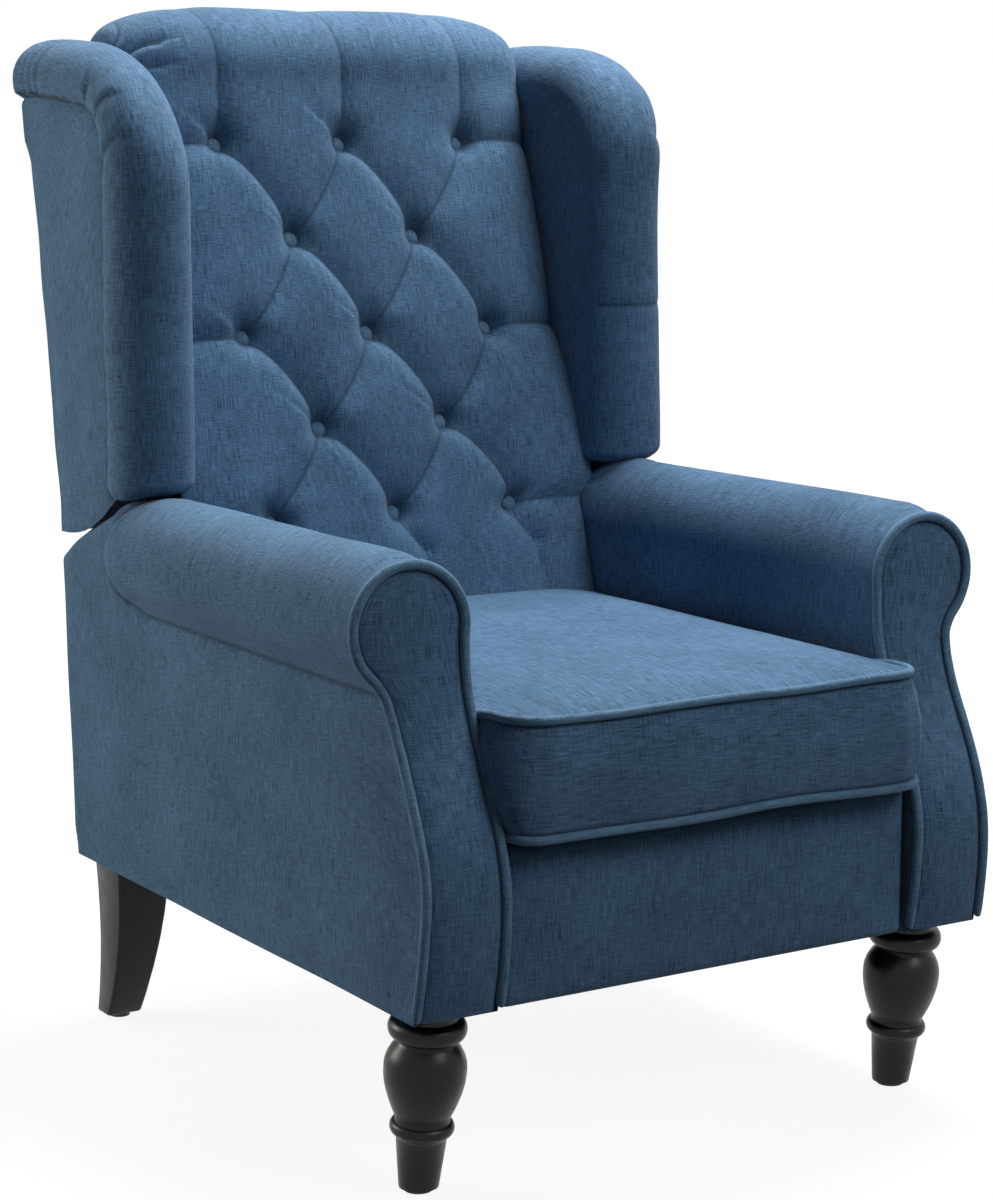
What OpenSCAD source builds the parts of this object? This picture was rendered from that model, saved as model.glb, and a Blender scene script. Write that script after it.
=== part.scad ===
// Push-back recliner armchair, millimetres. +Z up, front faces -Y, origin on the floor under the middle.

/* [Body] */
// Height of the body's underside above the floor
body_z = 180; // [160:1:200]
// Distance of each arm's inner face from the centre plane
arm_in = 236; // [236:1:250]
// Thickness of each arm below its roll
arm_t = 85; // [75:1:95]
// Radius of the rolled arm
roll_r = 57; // [50:1:60]
// Height of the roll's axis
roll_z = 522; // [510:1:530]
// Front of the arms at their roll
front_y = -351; // [-356:1:-346]
// How far the arm fronts sweep forward below the roll
sweep = 70; // [50:1:72]
// Height where that sweep begins
sweep_top = 500; // [485:1:510]
// Height where the arm fronts stand furthest forward
sweep_z = 280; // [265:1:300]
// How far the arm fronts tuck back again at the bottom
tuck = 12; // [0:1:16]
// Rear end of the arm at its bottom
arm_rear_low = 311; // [311:1:324]
// Rear end of the arm at its top
arm_rear_high = 332; // [324:1:339]
// Height of the arm's rear top corner
arm_rear_z = 505; // [480:1:510]
// Where the level part of the arm ends
roll_end = 109; // [89:1:114]
// Thickness of the arm front panels
facing_t = 9; // [6:1:12]
// Width of the piping round the arm fronts
welt_w = 8; // [6:1:10]
// Top edge of the panel across the rear of the body
rear_panel_z = 257; // [240:1:257]
// Thickness of the rear panel
rear_panel_t = 8; // [6:1:8]
// Height of the rail across the rear of the body
rail_h = 44; // [36:1:44]
// Thickness of the rear rail
rail_t = 22; // [18:1:22]

/* [Legs] */
// Sideways position of the front legs
leg_x = 278; // [270:1:284]
// Front leg foot position
leg_foot_y = -340; // [-346:1:-331]
// Lean of the front legs, degrees
leg_lean = 6.3; // [4:0.1:8]
// Largest radius of the turned vase
vase_r = 38; // [34:0.5:40]
// Radius of the turned leg at the floor
foot_r = 19; // [17:0.5:22]
// Height of the nylon glides
glide_t = 4; // [3:0.5:5]
// Outer face of the rear legs
rear_leg_x = 307; // [300:1:312]
// Width of the rear leg at the top
rear_leg_w = 60; // [50:1:62]
// Width of the rear leg at the floor
rear_foot_w = 39; // [34:1:44]

/* [Back] */
// Reference height of the back pad's front plane
ref_z = 558; // [540:1:570]
// Front plane of the back pad at the reference height
back_y = 163; // [161:1:169]
// Slope of the back pad, mm of y per mm of height
back_slope = 0.296; // [0.27:0.002:0.3]
// Rear plane of the back at its lower edge
cover_y = 300; // [294:1:300]
// Slope of the rear plane
cover_slope = 0.17; // [0.16:0.005:0.18]
// Lower edge of the back frame
back_low = 300; // [300:1:305]
// Lower edge of the rear cover, behind the rear panel's top edge
cover_low = 250; // [250:1:256]
// Lower edge of the back pad
pad_low = 350; // [350:1:360]
// Axis height of the rolled crest
crest_z = 1010; // [1000:1:1015]
// Radius of the rolled crest
crest_r = 69; // [60:1:70]
// Gap between the back pad and each arm
pad_gap = 5; // [5:1:11]
// Gap between the back pad and each wing roll
wing_gap = 2; // [2:1:7]
// Height where the pad widens above the arms
pad_step_z = 592; // [590:1:600]
// Radius of the wing roll
wing_r = 41; // [36:1:42]
// Sideways position of the wing roll axis
wing_x = 293; // [292:1:296]
// Front-to-back position of the wing roll axis
wing_y = 175; // [171:1:179]
// Height of the wing's upper roll axis at its front
wing_top = 983; // [975:1:990]
// Thickness of the rear cover
cover_t = 8; // [6:1:10]
// Depth of the back's wooden uprights, front to rear
stile_t = 40; // [36:1:40]
// Width of the back's wooden uprights
stile_w = 40.5; // [34:0.5:42]
// Radius of the covered buttons
button_r = 10; // [9:0.5:12]

/* [Seat] */
// Gap between the cushion and each arm
cushion_gap = 8; // [8:1:14]
// Radius of the cushion's front corners
corner_r = 36; // [24:1:40]
// Lower face of the cushion
cushion_low = 336; // [336:1:340]
// Upper piped edge of the cushion
cushion_top = 444; // [436:1:450]
// Front of the cushion
cushion_front = -433; // [-437:1:-428]
// Rise of the cushion's crown
crown = 14; // [8:1:16]
// Radius of the cushion piping
piping_r = 4; // [3:0.5:4]

/* [Footrest] */
// Top edge of the footrest panel
rest_top = 328; // [324:1:329]
// Bottom edge of the footrest panel
rest_low = 186; // [183:1:195]
// Front of the footrest panel
rest_y = -412; // [-416:1:-410]
// Gap between the footrest panel and each arm
rest_gap = 6; // [6:1:14]
// Thickness of the footrest padding
rest_pad_t = 28; // [24:1:28]
// Thickness of the footrest board
rest_board_t = 15; // [12:1:15]

/* [Mechanism] */
// Height of the back pivot
pivot_z = 307; // [305:1:307]
// Front-to-back position of the back pivot
pivot_y = 181; // [179:1:183]
// Length of the swing links and of the back lever
swing_len = 85; // [84:1:86]
// Swing link's start angle behind the vertical, degrees
swing_start = 10; // [9:0.5:11]
// Recline of the back, degrees
recline = 35; // [20:1:35]
// Turn of the footrest at full recline, degrees
rest_turn = 86; // [84:1:86]
// Radius of the pivot pins
pin_r = 4; // [3.5:0.1:4]
// Running clearance of every pivot, on the radius
pivot_gap = 0.06; // [0.05:0.01:0.08]
// Thickness of the steel links
link_t = 4; // [3:0.5:4]
// Gap between neighbouring link planes
plane_gap = 1; // [0.8:0.1:1]
// Half width of the slim links
link_r = 7; // [6:0.5:7]
// Half width of the swing links and the bosses
boss_r = 10; // [9:0.5:10]
// Step from each round link end in to the bar between, on each side
waist = 1.5; // [1:0.1:2]
// Radius of the cross tube
tube_r = 8; // [7:0.5:8]

/* [Hidden] */
$fn = 48;

arm_out = arm_in + arm_t;
roll_x = arm_in - 1 + roll_r;
arm_top = roll_z + roll_r;
clear = 0.4;
head_t = 2.3;
head_r = 7;
bolt_r = 3;

// planes of the mechanism, from the base plate inwards, as x of their inner faces
x_base = arm_in - 3;
x_p3 = x_base - 3.5 - link_t;
x_p2 = x_p3 - plane_gap - link_t;
x_p1 = x_p2 - plane_gap - link_t;
x_plate = x_p1 - 2 - link_t;

// half widths between the arms and the wings
pad_hw_low = arm_in - pad_gap;
pad_hw = wing_x - wing_r - wing_gap;
cushion_hw = arm_in - cushion_gap;
rest_hw = arm_in - rest_gap;
x_stile = x_p3 - stile_w;
frame_hw = x_p3 - 1.5;

// pivots as [y, z]
p_back = [pivot_y, pivot_z];
lever = [swing_len * sin(swing_start), -swing_len * cos(swing_start)];
q_back = p_back + lever;
p_swing = [9, pivot_z - 17];
q_swing = p_swing + lever;
v_rest = [-465, 438.6];
p_main = [-201, 294];
p_rear = [-146, 294];
g_rest = [-343, 322];
arm_vec = g_rest - v_rest;
e_main = p_main + arm_vec;
c_rear = p_rear + arm_vec;
w_vec = [10.3, -28.2];
d_main = e_main + w_vec;
f_rest = g_rest + w_vec;
k_drive = p_rear + [-28, 28];
drive_dir = 46;

// side view of the arm fronts: upright at the roll, sweeping forward, tucked back at the bottom
function front_at(z) =
    z >= sweep_top ? front_y
    : z >= sweep_z ? front_y - sweep * (1 + cos(180 * (z - sweep_z) / (sweep_top - sweep_z))) / 2
    : front_y - sweep + tuck * (1 - cos(90 * (sweep_z - z) / (sweep_z - body_z)));
front_steps = 18;
front_zs = [for (i = [0:front_steps]) body_z + i * (sweep_top - body_z) / front_steps];
function pad_at(z) = back_y + back_slope * (z - ref_z);
function cover_at(z) = cover_y + cover_slope * (z - back_low);
function frame_at(z) = cover_at(z) - cover_t - stile_t;
crest_y = pad_at(crest_z) + crest_r - 4;
stile_top = crest_z - 20;

left_arm();
right_arm();
left_arm_front();
right_arm_front();
left_arm_piping();
right_arm_piping();
rear_rail();
rear_panel();
front_leg_left();
front_leg_right();
rear_leg_left();
rear_leg_right();
leg_bolts();
leg_glides();
base_plates();
base_studs();
base_bolts();
back_stiles();
back_rails();
back_webbing();
back_pad();
back_cover();
left_wing();
right_wing();
back_buttons();
back_brackets();
seat_side_rails();
seat_cross_rails();
seat_springs();
seat_cushion();
seat_piping();
seat_plates();
seat_studs();
seat_bolts();
swing_links();
rear_lift_links();
rear_lift_studs();
main_lift_links();
main_lift_studs();
cross_tube();
extension_links();
guide_links();
footrest_brackets();
footrest_studs();
footrest_board();
footrest_pad();

// ---------- helpers ----------

// a drawing in [y, z] made solid from x0 to x1
module across(x0, x1) {
    translate([x0, 0, 0])
        rotate([90, 0, 90])
            linear_extrude(x1 - x0)
                children();
}

// a drawing in [x, z] made solid from y0 to y1
module along(y0, y1) {
    translate([0, y1, 0])
        rotate([90, 0, 0])
            linear_extrude(y1 - y0)
                children();
}

// the same thing on both sides
module both() {
    children();
    mirror([1, 0, 0])
        children();
}

// a round bar along x
module bar_x(x0, x1, p, r) {
    translate([x0, p[0], p[1]])
        rotate([0, 90, 0])
            cylinder(h = x1 - x0, r = r);
}

// outline of a straight link between two points, its bar a little slimmer than its round ends
module link2d(a, b, r) {
    d = b - a;
    translate(a)
        circle(r = r);
    translate(b)
        circle(r = r);
    translate(a)
        rotate(atan2(d[1], d[0]))
            translate([0, -r + waist])
                square([norm(d), 2 * (r - waist)]);
}

// a stud with a head: shank from x0 to the head, which sits outside x1
module stud(x0, x1, p) {
    union() {
        bar_x(x0, x1 + clear + 0.5, p, pin_r);
        bar_x(x1 + clear, x1 + clear + head_t - 0.4, p, head_r);
    }
}

// ---------- base ----------

module arm_section(g) {
    translate([roll_x, roll_z])
        circle(r = roll_r + g);
    translate([arm_in - g, body_z - g])
        square([arm_t + 2 * g, roll_z - body_z + g]);
}

module arm_rear_outline() {
    polygon([
        [-51, body_z], [arm_rear_low, body_z], [arm_rear_high, arm_rear_z],
        [roll_end + 50, arm_top - 3], [-51, arm_top - 3]
    ]);
}

module arm() {
    difference() {
        union() {
            along(front_y - sweep - 10, roll_end)
                arm_section(0);
            translate([roll_x, roll_end, roll_z])
                sphere(r = roll_r);
            across(arm_in, arm_out)
                arm_rear_outline();
        }
        across(arm_in - 10, roll_x + roll_r + 10)
            polygon(concat(
                [[-600, body_z - 10], [front_at(body_z), body_z - 10]],
                [for (z = front_zs) [front_at(z), z]],
                [[front_y, arm_top + 10], [-600, arm_top + 10]]
            ));
        leg_holes();
        plate_holes();
    }
}

module left_arm() {
    color("steelblue")
        mirror([1, 0, 0])
            arm();
}

module right_arm() {
    color("steelblue")
        arm();
}

// the arm's shape from the front, grown by g, down to the height low
module front_outline(g, low) {
    translate([roll_x, roll_z])
        circle(r = roll_r + g);
    translate([arm_in - g, low])
        square([arm_t + 2 * g, roll_z - low]);
}

// a band of the thickness t that follows the arm's swept front
module front_band(t) {
    n = front_steps;
    across(arm_in - 20, roll_x + roll_r + 20)
        polygon(concat(
            [for (z = front_zs) [front_at(z), z]],
            [[front_y, arm_top + 10], [front_y - t, arm_top + 10]],
            [for (i = [n:-1:0]) [front_at(front_zs[i]) - t, front_zs[i]]]
        ));
}

module arm_front() {
    intersection() {
        front_band(facing_t);
        along(-500, -300)
            front_outline(-welt_w + 3, body_z - 5);
    }
}

module left_arm_front() {
    color("slateblue")
        mirror([1, 0, 0])
            arm_front();
}

module right_arm_front() {
    color("slateblue")
        arm_front();
}

module arm_piping() {
    intersection() {
        front_band(facing_t + 1);
        along(-500, -300)
            difference() {
                front_outline(2.5, body_z - 5);
                front_outline(-welt_w + 3, body_z - 15);
            }
    }
}

module left_arm_piping() {
    color("midnightblue")
        mirror([1, 0, 0])
            arm_piping();
}

module right_arm_piping() {
    color("midnightblue")
        arm_piping();
}

module rear_rail() {
    color("burlywood")
        translate([-arm_in, arm_rear_low - rear_panel_t - rail_t, body_z + 2])
            cube([2 * arm_in, rail_t, rail_h]);
}

module rear_panel() {
    color("steelblue")
        translate([-arm_in, arm_rear_low - rear_panel_t, body_z])
            cube([2 * arm_in, rear_panel_t, rear_panel_z - body_z]);
}

// ---------- legs ----------

function vase(t) = vase_r - (vase_r - 25) * pow(t, 1.7);

module turned_profile() {
    h = body_z / cos(leg_lean);
    polygon(concat(
        [[0, -10], [foot_r - 2, -10], [foot_r - 1, 4], [foot_r, 9]],
        [[23.5, 54], [25, 57]],
        [for (a = [-75:25:75]) [25 + 4.5 * cos(a), 63.5 + 6 * sin(a)]],
        [[25, 71]],
        [for (i = [9:-1:1]) [vase(i / 9), 118 - 45 * i / 9]],
        [[vase_r, 122], [vase_r - 0.6, 128], [vase_r - 3, 135], [vase_r - 7.5, 142], [27.5, 146]],
        [[26.5, 148], [27.5, 150]],
        [for (a = [-70:28:70]) [28 + 8 * cos(a), 160 + 9.5 * sin(a)]],
        [[28, 171], [28, h + 8], [0, h + 8]]
    ));
}

module front_leg() {
    difference() {
        intersection() {
            translate([leg_x, leg_foot_y, 0])
                rotate([leg_lean, 0, 0])
                    rotate_extrude()
                        turned_profile();
            translate([0, -550, glide_t])
                cube([500, 550, body_z - glide_t]);
        }
        leg_holes();
    }
}

module front_leg_left() {
    color("black")
        mirror([1, 0, 0])
            front_leg();
}

module front_leg_right() {
    color("black")
        front_leg();
}

// the sabre shape: the front edge sweeps back, the rear edge is hollow
module sabre_outline() {
    polygon([
        [234, body_z], [232, 150], [233, 120], [237, 90], [245, 58], [255, 30], [268, 4],
        [296, 4], [291, 30], [287, 60], [285, 90], [286, 120], [289, 150], [294, body_z]
    ]);
}

module rear_leg() {
    difference() {
        intersection() {
            across(rear_leg_x - rear_leg_w, rear_leg_x)
                sabre_outline();
            along(200, 350)
                polygon([
                    [rear_leg_x, 0], [rear_leg_x, body_z], [rear_leg_x - rear_leg_w, body_z],
                    [rear_leg_x - rear_leg_w + 3, 140], [rear_leg_x - rear_foot_w - 4, 40],
                    [rear_leg_x - rear_foot_w, 0]
                ]);
        }
        leg_holes();
    }
}

module rear_leg_left() {
    color("black")
        mirror([1, 0, 0])
            rear_leg();
}

module rear_leg_right() {
    color("black")
        rear_leg();
}

leg_top_y = leg_foot_y - body_z * tan(leg_lean);
rear_bolt_x = rear_leg_x - rear_leg_w / 2;

module leg_bolt(g) {
    translate([leg_x, leg_top_y, body_z - 30 - g])
        cylinder(h = 70 + 2 * g, r = 4 + g);
    translate([rear_bolt_x, 263, body_z - 30 - g])
        cylinder(h = 70 + 2 * g, r = 4 + g);
}

module leg_holes() {
    leg_bolt(0.1);
}

module leg_bolts() {
    color("silver")
        both()
            leg_bolt(0);
}

module leg_glides() {
    color("dimgray")
        both()
            union() {
                translate([leg_x, leg_foot_y, 0])
                    cylinder(h = glide_t, r = 13);
                translate([rear_leg_x - 20, 282, 0])
                    cylinder(h = glide_t, r = 11);
            }
}

// ---------- mechanism on the base ----------

module base_plate_outline() {
    polygon([
        [-191, 331], [-191, 308], [-15, 272], [11, 268], [185, 285], [207, 300], [207, 331]
    ]);
}

bolt_spots = [[-51, 305], [99, 308]];

module plate_holes() {
    for (p = bolt_spots)
        bar_x(arm_in - 5, arm_in + 31, p, bolt_r + 0.1);
}

module base_plates() {
    color("gray")
        both()
            difference() {
                across(x_base, arm_in)
                    base_plate_outline();
                plate_holes();
            }
}

module base_studs() {
    color("silver")
        both()
            union() {
                bar_x(x_p3 - clear - 0.5, x_base, p_back, pin_r);
                bar_x(x_p3 - clear - head_t, x_p3 - clear, p_back, head_r);
                bar_x(x_p3 - clear - 0.5, x_base, p_swing, pin_r);
                bar_x(x_p3 - clear - head_t, x_p3 - clear, p_swing, head_r);
                bar_x(x_p1 + 0.2, x_base, k_drive, pin_r);
            }
}

module base_bolts() {
    color("silver")
        both()
            for (p = bolt_spots) {
                union() {
                    bar_x(x_base - 0.5, arm_in + 30, p, bolt_r);
                    bar_x(x_base - 2.5, x_base, p, 6);
                }
            }
}

// ---------- back ----------

module back_stiles() {
    color("burlywood")
        both()
            across(x_stile, x_p3)
                polygon([
                    [frame_at(back_low), back_low], [frame_at(back_low) + stile_t, back_low],
                    [frame_at(stile_top) + stile_t, stile_top], [frame_at(stile_top), stile_top]
                ]);
}

module back_rail(z) {
    translate([-x_stile, frame_at(z) + 9, z])
        cube([2 * x_stile, stile_t - 14, 45]);
}

module back_rails() {
    color("burlywood") {
        back_rail(back_low + 2);
        back_rail(560);
        back_rail(stile_top - 60);
    }
}

module back_webbing() {
    color("black")
        for (z = [400:90:850]) {
            across(-frame_hw, frame_hw)
                polygon([
                    [frame_at(z) - 3, z], [frame_at(z), z],
                    [frame_at(z + 50), z + 50], [frame_at(z + 50) - 3, z + 50]
                ]);
        }
}

// the pad's side view up to the crest
module pad_outline(z0) {
    polygon([
        [pad_at(z0), z0], [frame_at(z0) - 3, z0], [frame_at(stile_top) - 3, stile_top],
        [cover_at(stile_top) - cover_t, stile_top], [crest_y, crest_z], [pad_at(crest_z), crest_z]
    ]);
}

module back_pad() {
    color("cornflowerblue")
        difference() {
            union() {
                across(-pad_hw_low, pad_hw_low)
                    pad_outline(pad_low);
                across(-pad_hw, pad_hw)
                    pad_outline(pad_step_z);
                bar_x(-pad_hw, pad_hw, [crest_y, crest_z], crest_r);
            }
            for (p = button_spots)
                button_at(p, 0.05, 12);
            across(-300, 300)
                polygon([
                    [frame_at(850) - 3, 850], [600, 850], [600, stile_top],
                    [frame_at(stile_top) - 3, stile_top]
                ]);
        }
}

module back_cover() {
    color("steelblue")
        union() {
            across(-frame_hw, frame_hw)
                cover_outline(cover_low, 640);
            across(-wing_x - 28, wing_x + 28)
                cover_outline(605, wing_top - wing_r + 12);
            across(-pad_hw, pad_hw)
                cover_outline(620, crest_z - 22);
        }
}

module cover_outline(z0, z1) {
    polygon([
        [cover_at(z0) - cover_t, z0], [cover_at(z0), z0],
        [cover_at(z1), z1], [cover_at(z1) - cover_t, z1]
    ]);
}

module wing() {
    rear_top = cover_at(wing_top) - cover_t;
    union() {
        translate([wing_x, wing_y, wing_z0()])
            cylinder(h = wing_top - wing_z0(), r = wing_r);
        translate([wing_x, wing_y, wing_z0()])
            sphere(r = wing_r);
        translate([wing_x, wing_y, wing_top])
            sphere(r = wing_r);
        translate([wing_x, wing_y, wing_top])
            rotate([-86, 0, 0])
                cylinder(h = 224, r = wing_r);
        translate([wing_x, wing_y + 223.5, wing_top + 15.6])
            sphere(r = wing_r);
        across(pad_hw, wing_x + 28)
            polygon([
                [wing_y, wing_z0() - 30], [344, 531], [cover_at(560) - cover_t, 560],
                [rear_top, wing_top], [wing_y, wing_top]
            ]);
    }
}

function wing_z0() = arm_top + 13 + wing_r;

module left_wing() {
    color("steelblue")
        mirror([1, 0, 0])
            wing();
}

module right_wing() {
    color("steelblue")
        wing();
}

button_rows = [940, 840, 738, 640, 547];
button_dx = 151;
button_spots = concat(
    [for (z = [940, 738, 547]) for (x = [-button_dx, 0, button_dx]) [x, z]],
    [for (z = [840, 640]) for (x = [-button_dx / 2, button_dx / 2]) [x, z]]
);
pad_lean = atan(back_slope);

module button_at(p, g, sink) {
    translate([p[0], pad_at(p[1]), p[1]])
        rotate([90 - pad_lean, 0, 0])
            translate([0, 0, -sink])
                cylinder(h = sink + 8, r = button_r + g);
}

module back_buttons() {
    color("midnightblue")
        for (p = button_spots) {
            intersection() {
                button_at(p, 0, 12);
                translate([p[0], pad_at(p[1]), p[1]])
                    rotate([90 - pad_lean, 0, 0])
                        translate([0, 0, -15])
                            sphere(r = 17);
            }
        }
}

module bracket_outline() {
    polygon([
        [pivot_y - 8, pivot_z + 14], [pivot_y - 16, pivot_z], [q_back[0] - boss_r, q_back[1]],
        [q_back[0] + boss_r, q_back[1]], [pivot_y + 30, pivot_z - 24], [frame_at(305) + 30, 305],
        [frame_at(430) + 30, 430], [frame_at(430) + 6, 430], [frame_at(345) + 4, 345]
    ]);
    translate(q_back)
        circle(r = boss_r);
    translate(p_back)
        circle(r = 16);
}

module back_brackets() {
    color("gray")
        both()
            difference() {
                across(x_p3, x_p3 + link_t)
                    bracket_outline();
                bar_x(x_p3 - 1, x_p3 + link_t + 1, p_back, pin_r + pivot_gap);
                bar_x(x_p3 - 1, x_p3 + link_t + 1, q_back, pin_r + pivot_gap);
            }
}

// ---------- seat ----------

seat_rail_h = cushion_low - 303.2;

module seat_side_rails() {
    color("burlywood")
        both()
            difference() {
                translate([x_plate - 30, -349, 303])
                    cube([30, 448, seat_rail_h]);
                seat_bolt_holes();
            }
}

module seat_cross_rails() {
    color("burlywood")
        for (y = [-349, 64]) {
            translate([-x_plate + 30, y, 303])
                cube([2 * (x_plate - 30), 35, seat_rail_h]);
        }
}

// one flat-bent spring running from rail to rail
module zigzag(x) {
    n = 18;
    pitch = (64 + 314) / n;
    a = [for (i = [0:n]) [x + (i % 2 == 0 ? -24 : 16), i * pitch - 314]];
    b = [for (i = [n:-1:0]) [x + (i % 2 == 0 ? -16 : 24), i * pitch - 314]];
    translate([0, 0, 320])
        linear_extrude(3.5)
            polygon(concat(a, b));
}

module seat_springs() {
    color("dimgray")
        for (x = [-130, -65, 0, 65, 130])
            zigzag(x);
}

module cushion_outline() {
    z = cushion_top;
    f = cushion_front;
    polygon(concat(
        [[f + 4, cushion_low], [pad_at(pad_low) - 4, cushion_low], [pad_at(pad_low) - 4, pad_low]],
        [[pad_at(z) - 4, z], [9, z + crown * 0.8], [-111, z + crown], [-231, z + crown]],
        [[-331, z + crown * 0.8], [-391, z + crown * 0.4], [f + 6, z], [f - 1, z - 5]],
        [[f - 3, z - 30], [f - 3, cushion_low + 25], [f, cushion_low + 4]]
    ));
}

module seat_cushion() {
    color("cornflowerblue")
        difference() {
            cushion_body();
            both()
                bar_x(x_p1 - 1.2, cushion_hw + 10, p_rear, 53);
        }
}

// where the cushion's rounded front corners begin
corner_y = cushion_front - 3 + corner_r;

// the cushion before the rear lift links' swing is cut out of it
module cushion_body() {
    intersection() {
        across(-cushion_hw, cushion_hw)
            cushion_outline();
        translate([0, 0, cushion_low - 5])
            linear_extrude(150)
                union() {
                    translate([-cushion_hw - 5, corner_y])
                        square([2 * cushion_hw + 10, 700]);
                    translate([-cushion_hw + corner_r, corner_y - corner_r])
                        square([2 * (cushion_hw - corner_r), corner_r + 1]);
                    for (s = [-1, 1])
                        translate([s * (cushion_hw - corner_r), corner_y])
                            circle(r = corner_r);
                }
    }
}

// piping along the front edges and back along the sides
module piping_run(z) {
    straight = cushion_hw - corner_r;
    bar_x(-straight, straight, [corner_y - corner_r, z], piping_r);
    both()
        union() {
            translate([straight, corner_y, z])
                rotate([0, 0, -90])
                    rotate_extrude(angle = 90)
                        translate([corner_r, 0])
                            circle(r = piping_r);
            translate([cushion_hw, corner_y, z])
                rotate([-90, 0, 0])
                    cylinder(h = 11, r = piping_r);
            translate([cushion_hw, corner_y + 11, z])
                sphere(r = piping_r);
        }
}

module seat_piping() {
    color("midnightblue")
        difference() {
            union() {
                piping_run(cushion_low + 5);
                piping_run(cushion_top - 2);
            }
            cushion_body();
        }
}

module seat_plate_outline() {
    polygon([
        [-219, 332], [-219, 284], [-131, 280], [-31, 250], [7, 200], [17, 195], [44, 194],
        [199, 211], [206, 223], [199, 233], [59, 262], [59, 332]
    ]);
}

seat_spots = [[-181, 318], [19, 318]];

module seat_bolt_holes() {
    for (p = seat_spots)
        bar_x(x_plate - 26, x_plate + link_t + 1, p, bolt_r + 0.1);
}

module seat_plates() {
    color("gray")
        both()
            difference() {
                across(x_plate, x_plate + link_t)
                    seat_plate_outline();
                seat_bolt_holes();
            }
}

module seat_studs() {
    s = x_plate + link_t;
    color("silver")
        both()
            union() {
                stud(s, x_p1 + link_t, p_main);
                stud(s, x_p1 + link_t, p_rear);
                stud(s, x_p3 + link_t, q_swing);
                stud(s, x_p3 + link_t, q_back);
            }
}

module seat_bolts() {
    s = x_plate + link_t;
    color("silver")
        both()
            for (p = seat_spots) {
                union() {
                    bar_x(x_plate - 25, s + 0.5, p, bolt_r);
                    bar_x(s, s + 1.5, p, 6);
                }
            }
}

// ---------- links ----------

module swing_links() {
    color("gray")
        both()
            difference() {
                across(x_p3, x_p3 + link_t)
                    link2d(p_swing, q_swing, boss_r);
                bar_x(x_p3 - 1, x_p3 + link_t + 1, p_swing, pin_r + pivot_gap);
                bar_x(x_p3 - 1, x_p3 + link_t + 1, q_swing, pin_r + pivot_gap);
            }
}

// the rear lift link carries the slot that the fixed drive stud works in
module rear_lift_links() {
    color("dimgray")
        both()
            difference() {
                across(x_p1, x_p1 + link_t)
                    union() {
                        link2d(p_rear, c_rear, boss_r - 1);
                        translate(p_rear)
                            circle(r = boss_r + 1);
                        translate(p_rear)
                            rotate(180 - drive_dir)
                                translate([0, -12])
                                    square([49, 24]);
                    }
                across(x_p1 - 1, x_p1 + link_t + 1)
                    translate(p_rear)
                        rotate(180 - drive_dir)
                            translate([22, -8])
                                square([23, 16]);
                bar_x(x_p1 - 1, x_p1 + link_t + 1, p_rear, pin_r + pivot_gap);
            }
}

module rear_lift_studs() {
    color("silver")
        both()
            stud(x_p1 + link_t, x_p2 + link_t, c_rear);
}

module main_lift_links() {
    color("dimgray")
        both()
            difference() {
                across(x_p1, x_p1 + link_t)
                    union() {
                        link2d(p_main, e_main, boss_r - 1);
                        link2d(e_main, d_main, boss_r - 1);
                    }
                bar_x(x_p1 - 1, x_p1 + link_t + 1, p_main, pin_r + pivot_gap);
            }
}

module main_lift_studs() {
    color("silver")
        both()
            union() {
                stud(x_p1 + link_t, x_p2 + link_t, e_main);
                stud(x_p1 + link_t, x_p2 + link_t, d_main);
            }
}

module cross_tube() {
    mid = (p_main + e_main) / 2;
    color("gray")
        difference() {
            bar_x(-x_p1, x_p1, mid, tube_r);
            bar_x(-x_p1 + 5, x_p1 - 5, mid, tube_r - 1.5);
        }
}

module extension_links() {
    color("dimgray")
        both()
            difference() {
                across(x_p2, x_p2 + link_t)
                    union() {
                        link2d(c_rear, e_main, link_r);
                        link2d(e_main, g_rest, link_r);
                    }
                for (p = [c_rear, e_main, g_rest])
                    bar_x(x_p2 - 1, x_p2 + link_t + 1, p, pin_r + pivot_gap);
            }
}

module guide_links() {
    color("dimgray")
        both()
            difference() {
                across(x_p2, x_p2 + link_t)
                    link2d(d_main, f_rest, link_r);
                for (p = [d_main, f_rest])
                    bar_x(x_p2 - 1, x_p2 + link_t + 1, p, pin_r + pivot_gap);
            }
}

// ---------- footrest ----------

rest_back = rest_y + rest_pad_t + rest_board_t;

module footrest_brackets() {
    color("gray")
        both()
            union() {
                across(x_p1, x_p1 + link_t)
                    union() {
                        translate(g_rest)
                            circle(r = link_r + 1);
                        translate(f_rest)
                            circle(r = link_r + 1);
                        polygon([
                            [rest_back + 1, 322], [g_rest[0], g_rest[1] + link_r + 0.5],
                            [g_rest[0] + link_r, g_rest[1]], [f_rest[0] + link_r + 0.5, f_rest[1]],
                            [f_rest[0], f_rest[1] - link_r - 0.5], [rest_back + 1, 260]
                        ]);
                    }
                translate([x_p1 - 26, rest_back, 258])
                    cube([26 + link_t, 3, 66]);
            }
}

module footrest_studs() {
    color("silver")
        both()
            union() {
                stud(x_p1 + link_t, x_p2 + link_t, g_rest);
                stud(x_p1 + link_t, x_p2 + link_t, f_rest);
            }
}

module footrest_board() {
    color("burlywood")
        translate([-rest_hw + 4, rest_y + rest_pad_t, rest_low + 3])
            cube([2 * rest_hw - 8, rest_board_t, rest_top - rest_low - 8]);
}

module footrest_pad() {
    h = rest_top - rest_low;
    color("steelblue")
        translate([0, rest_y, rest_low])
            union() {
                translate([-rest_hw + 6, 7, 0])
                    cube([2 * rest_hw - 12, rest_pad_t - 7, h]);
                translate([-rest_hw, 7, 7])
                    cube([2 * rest_hw, rest_pad_t - 7, h - 14]);
                translate([-rest_hw + 7, 0, 7])
                    cube([2 * rest_hw - 14, rest_pad_t, h - 14]);
            }
}
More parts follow.
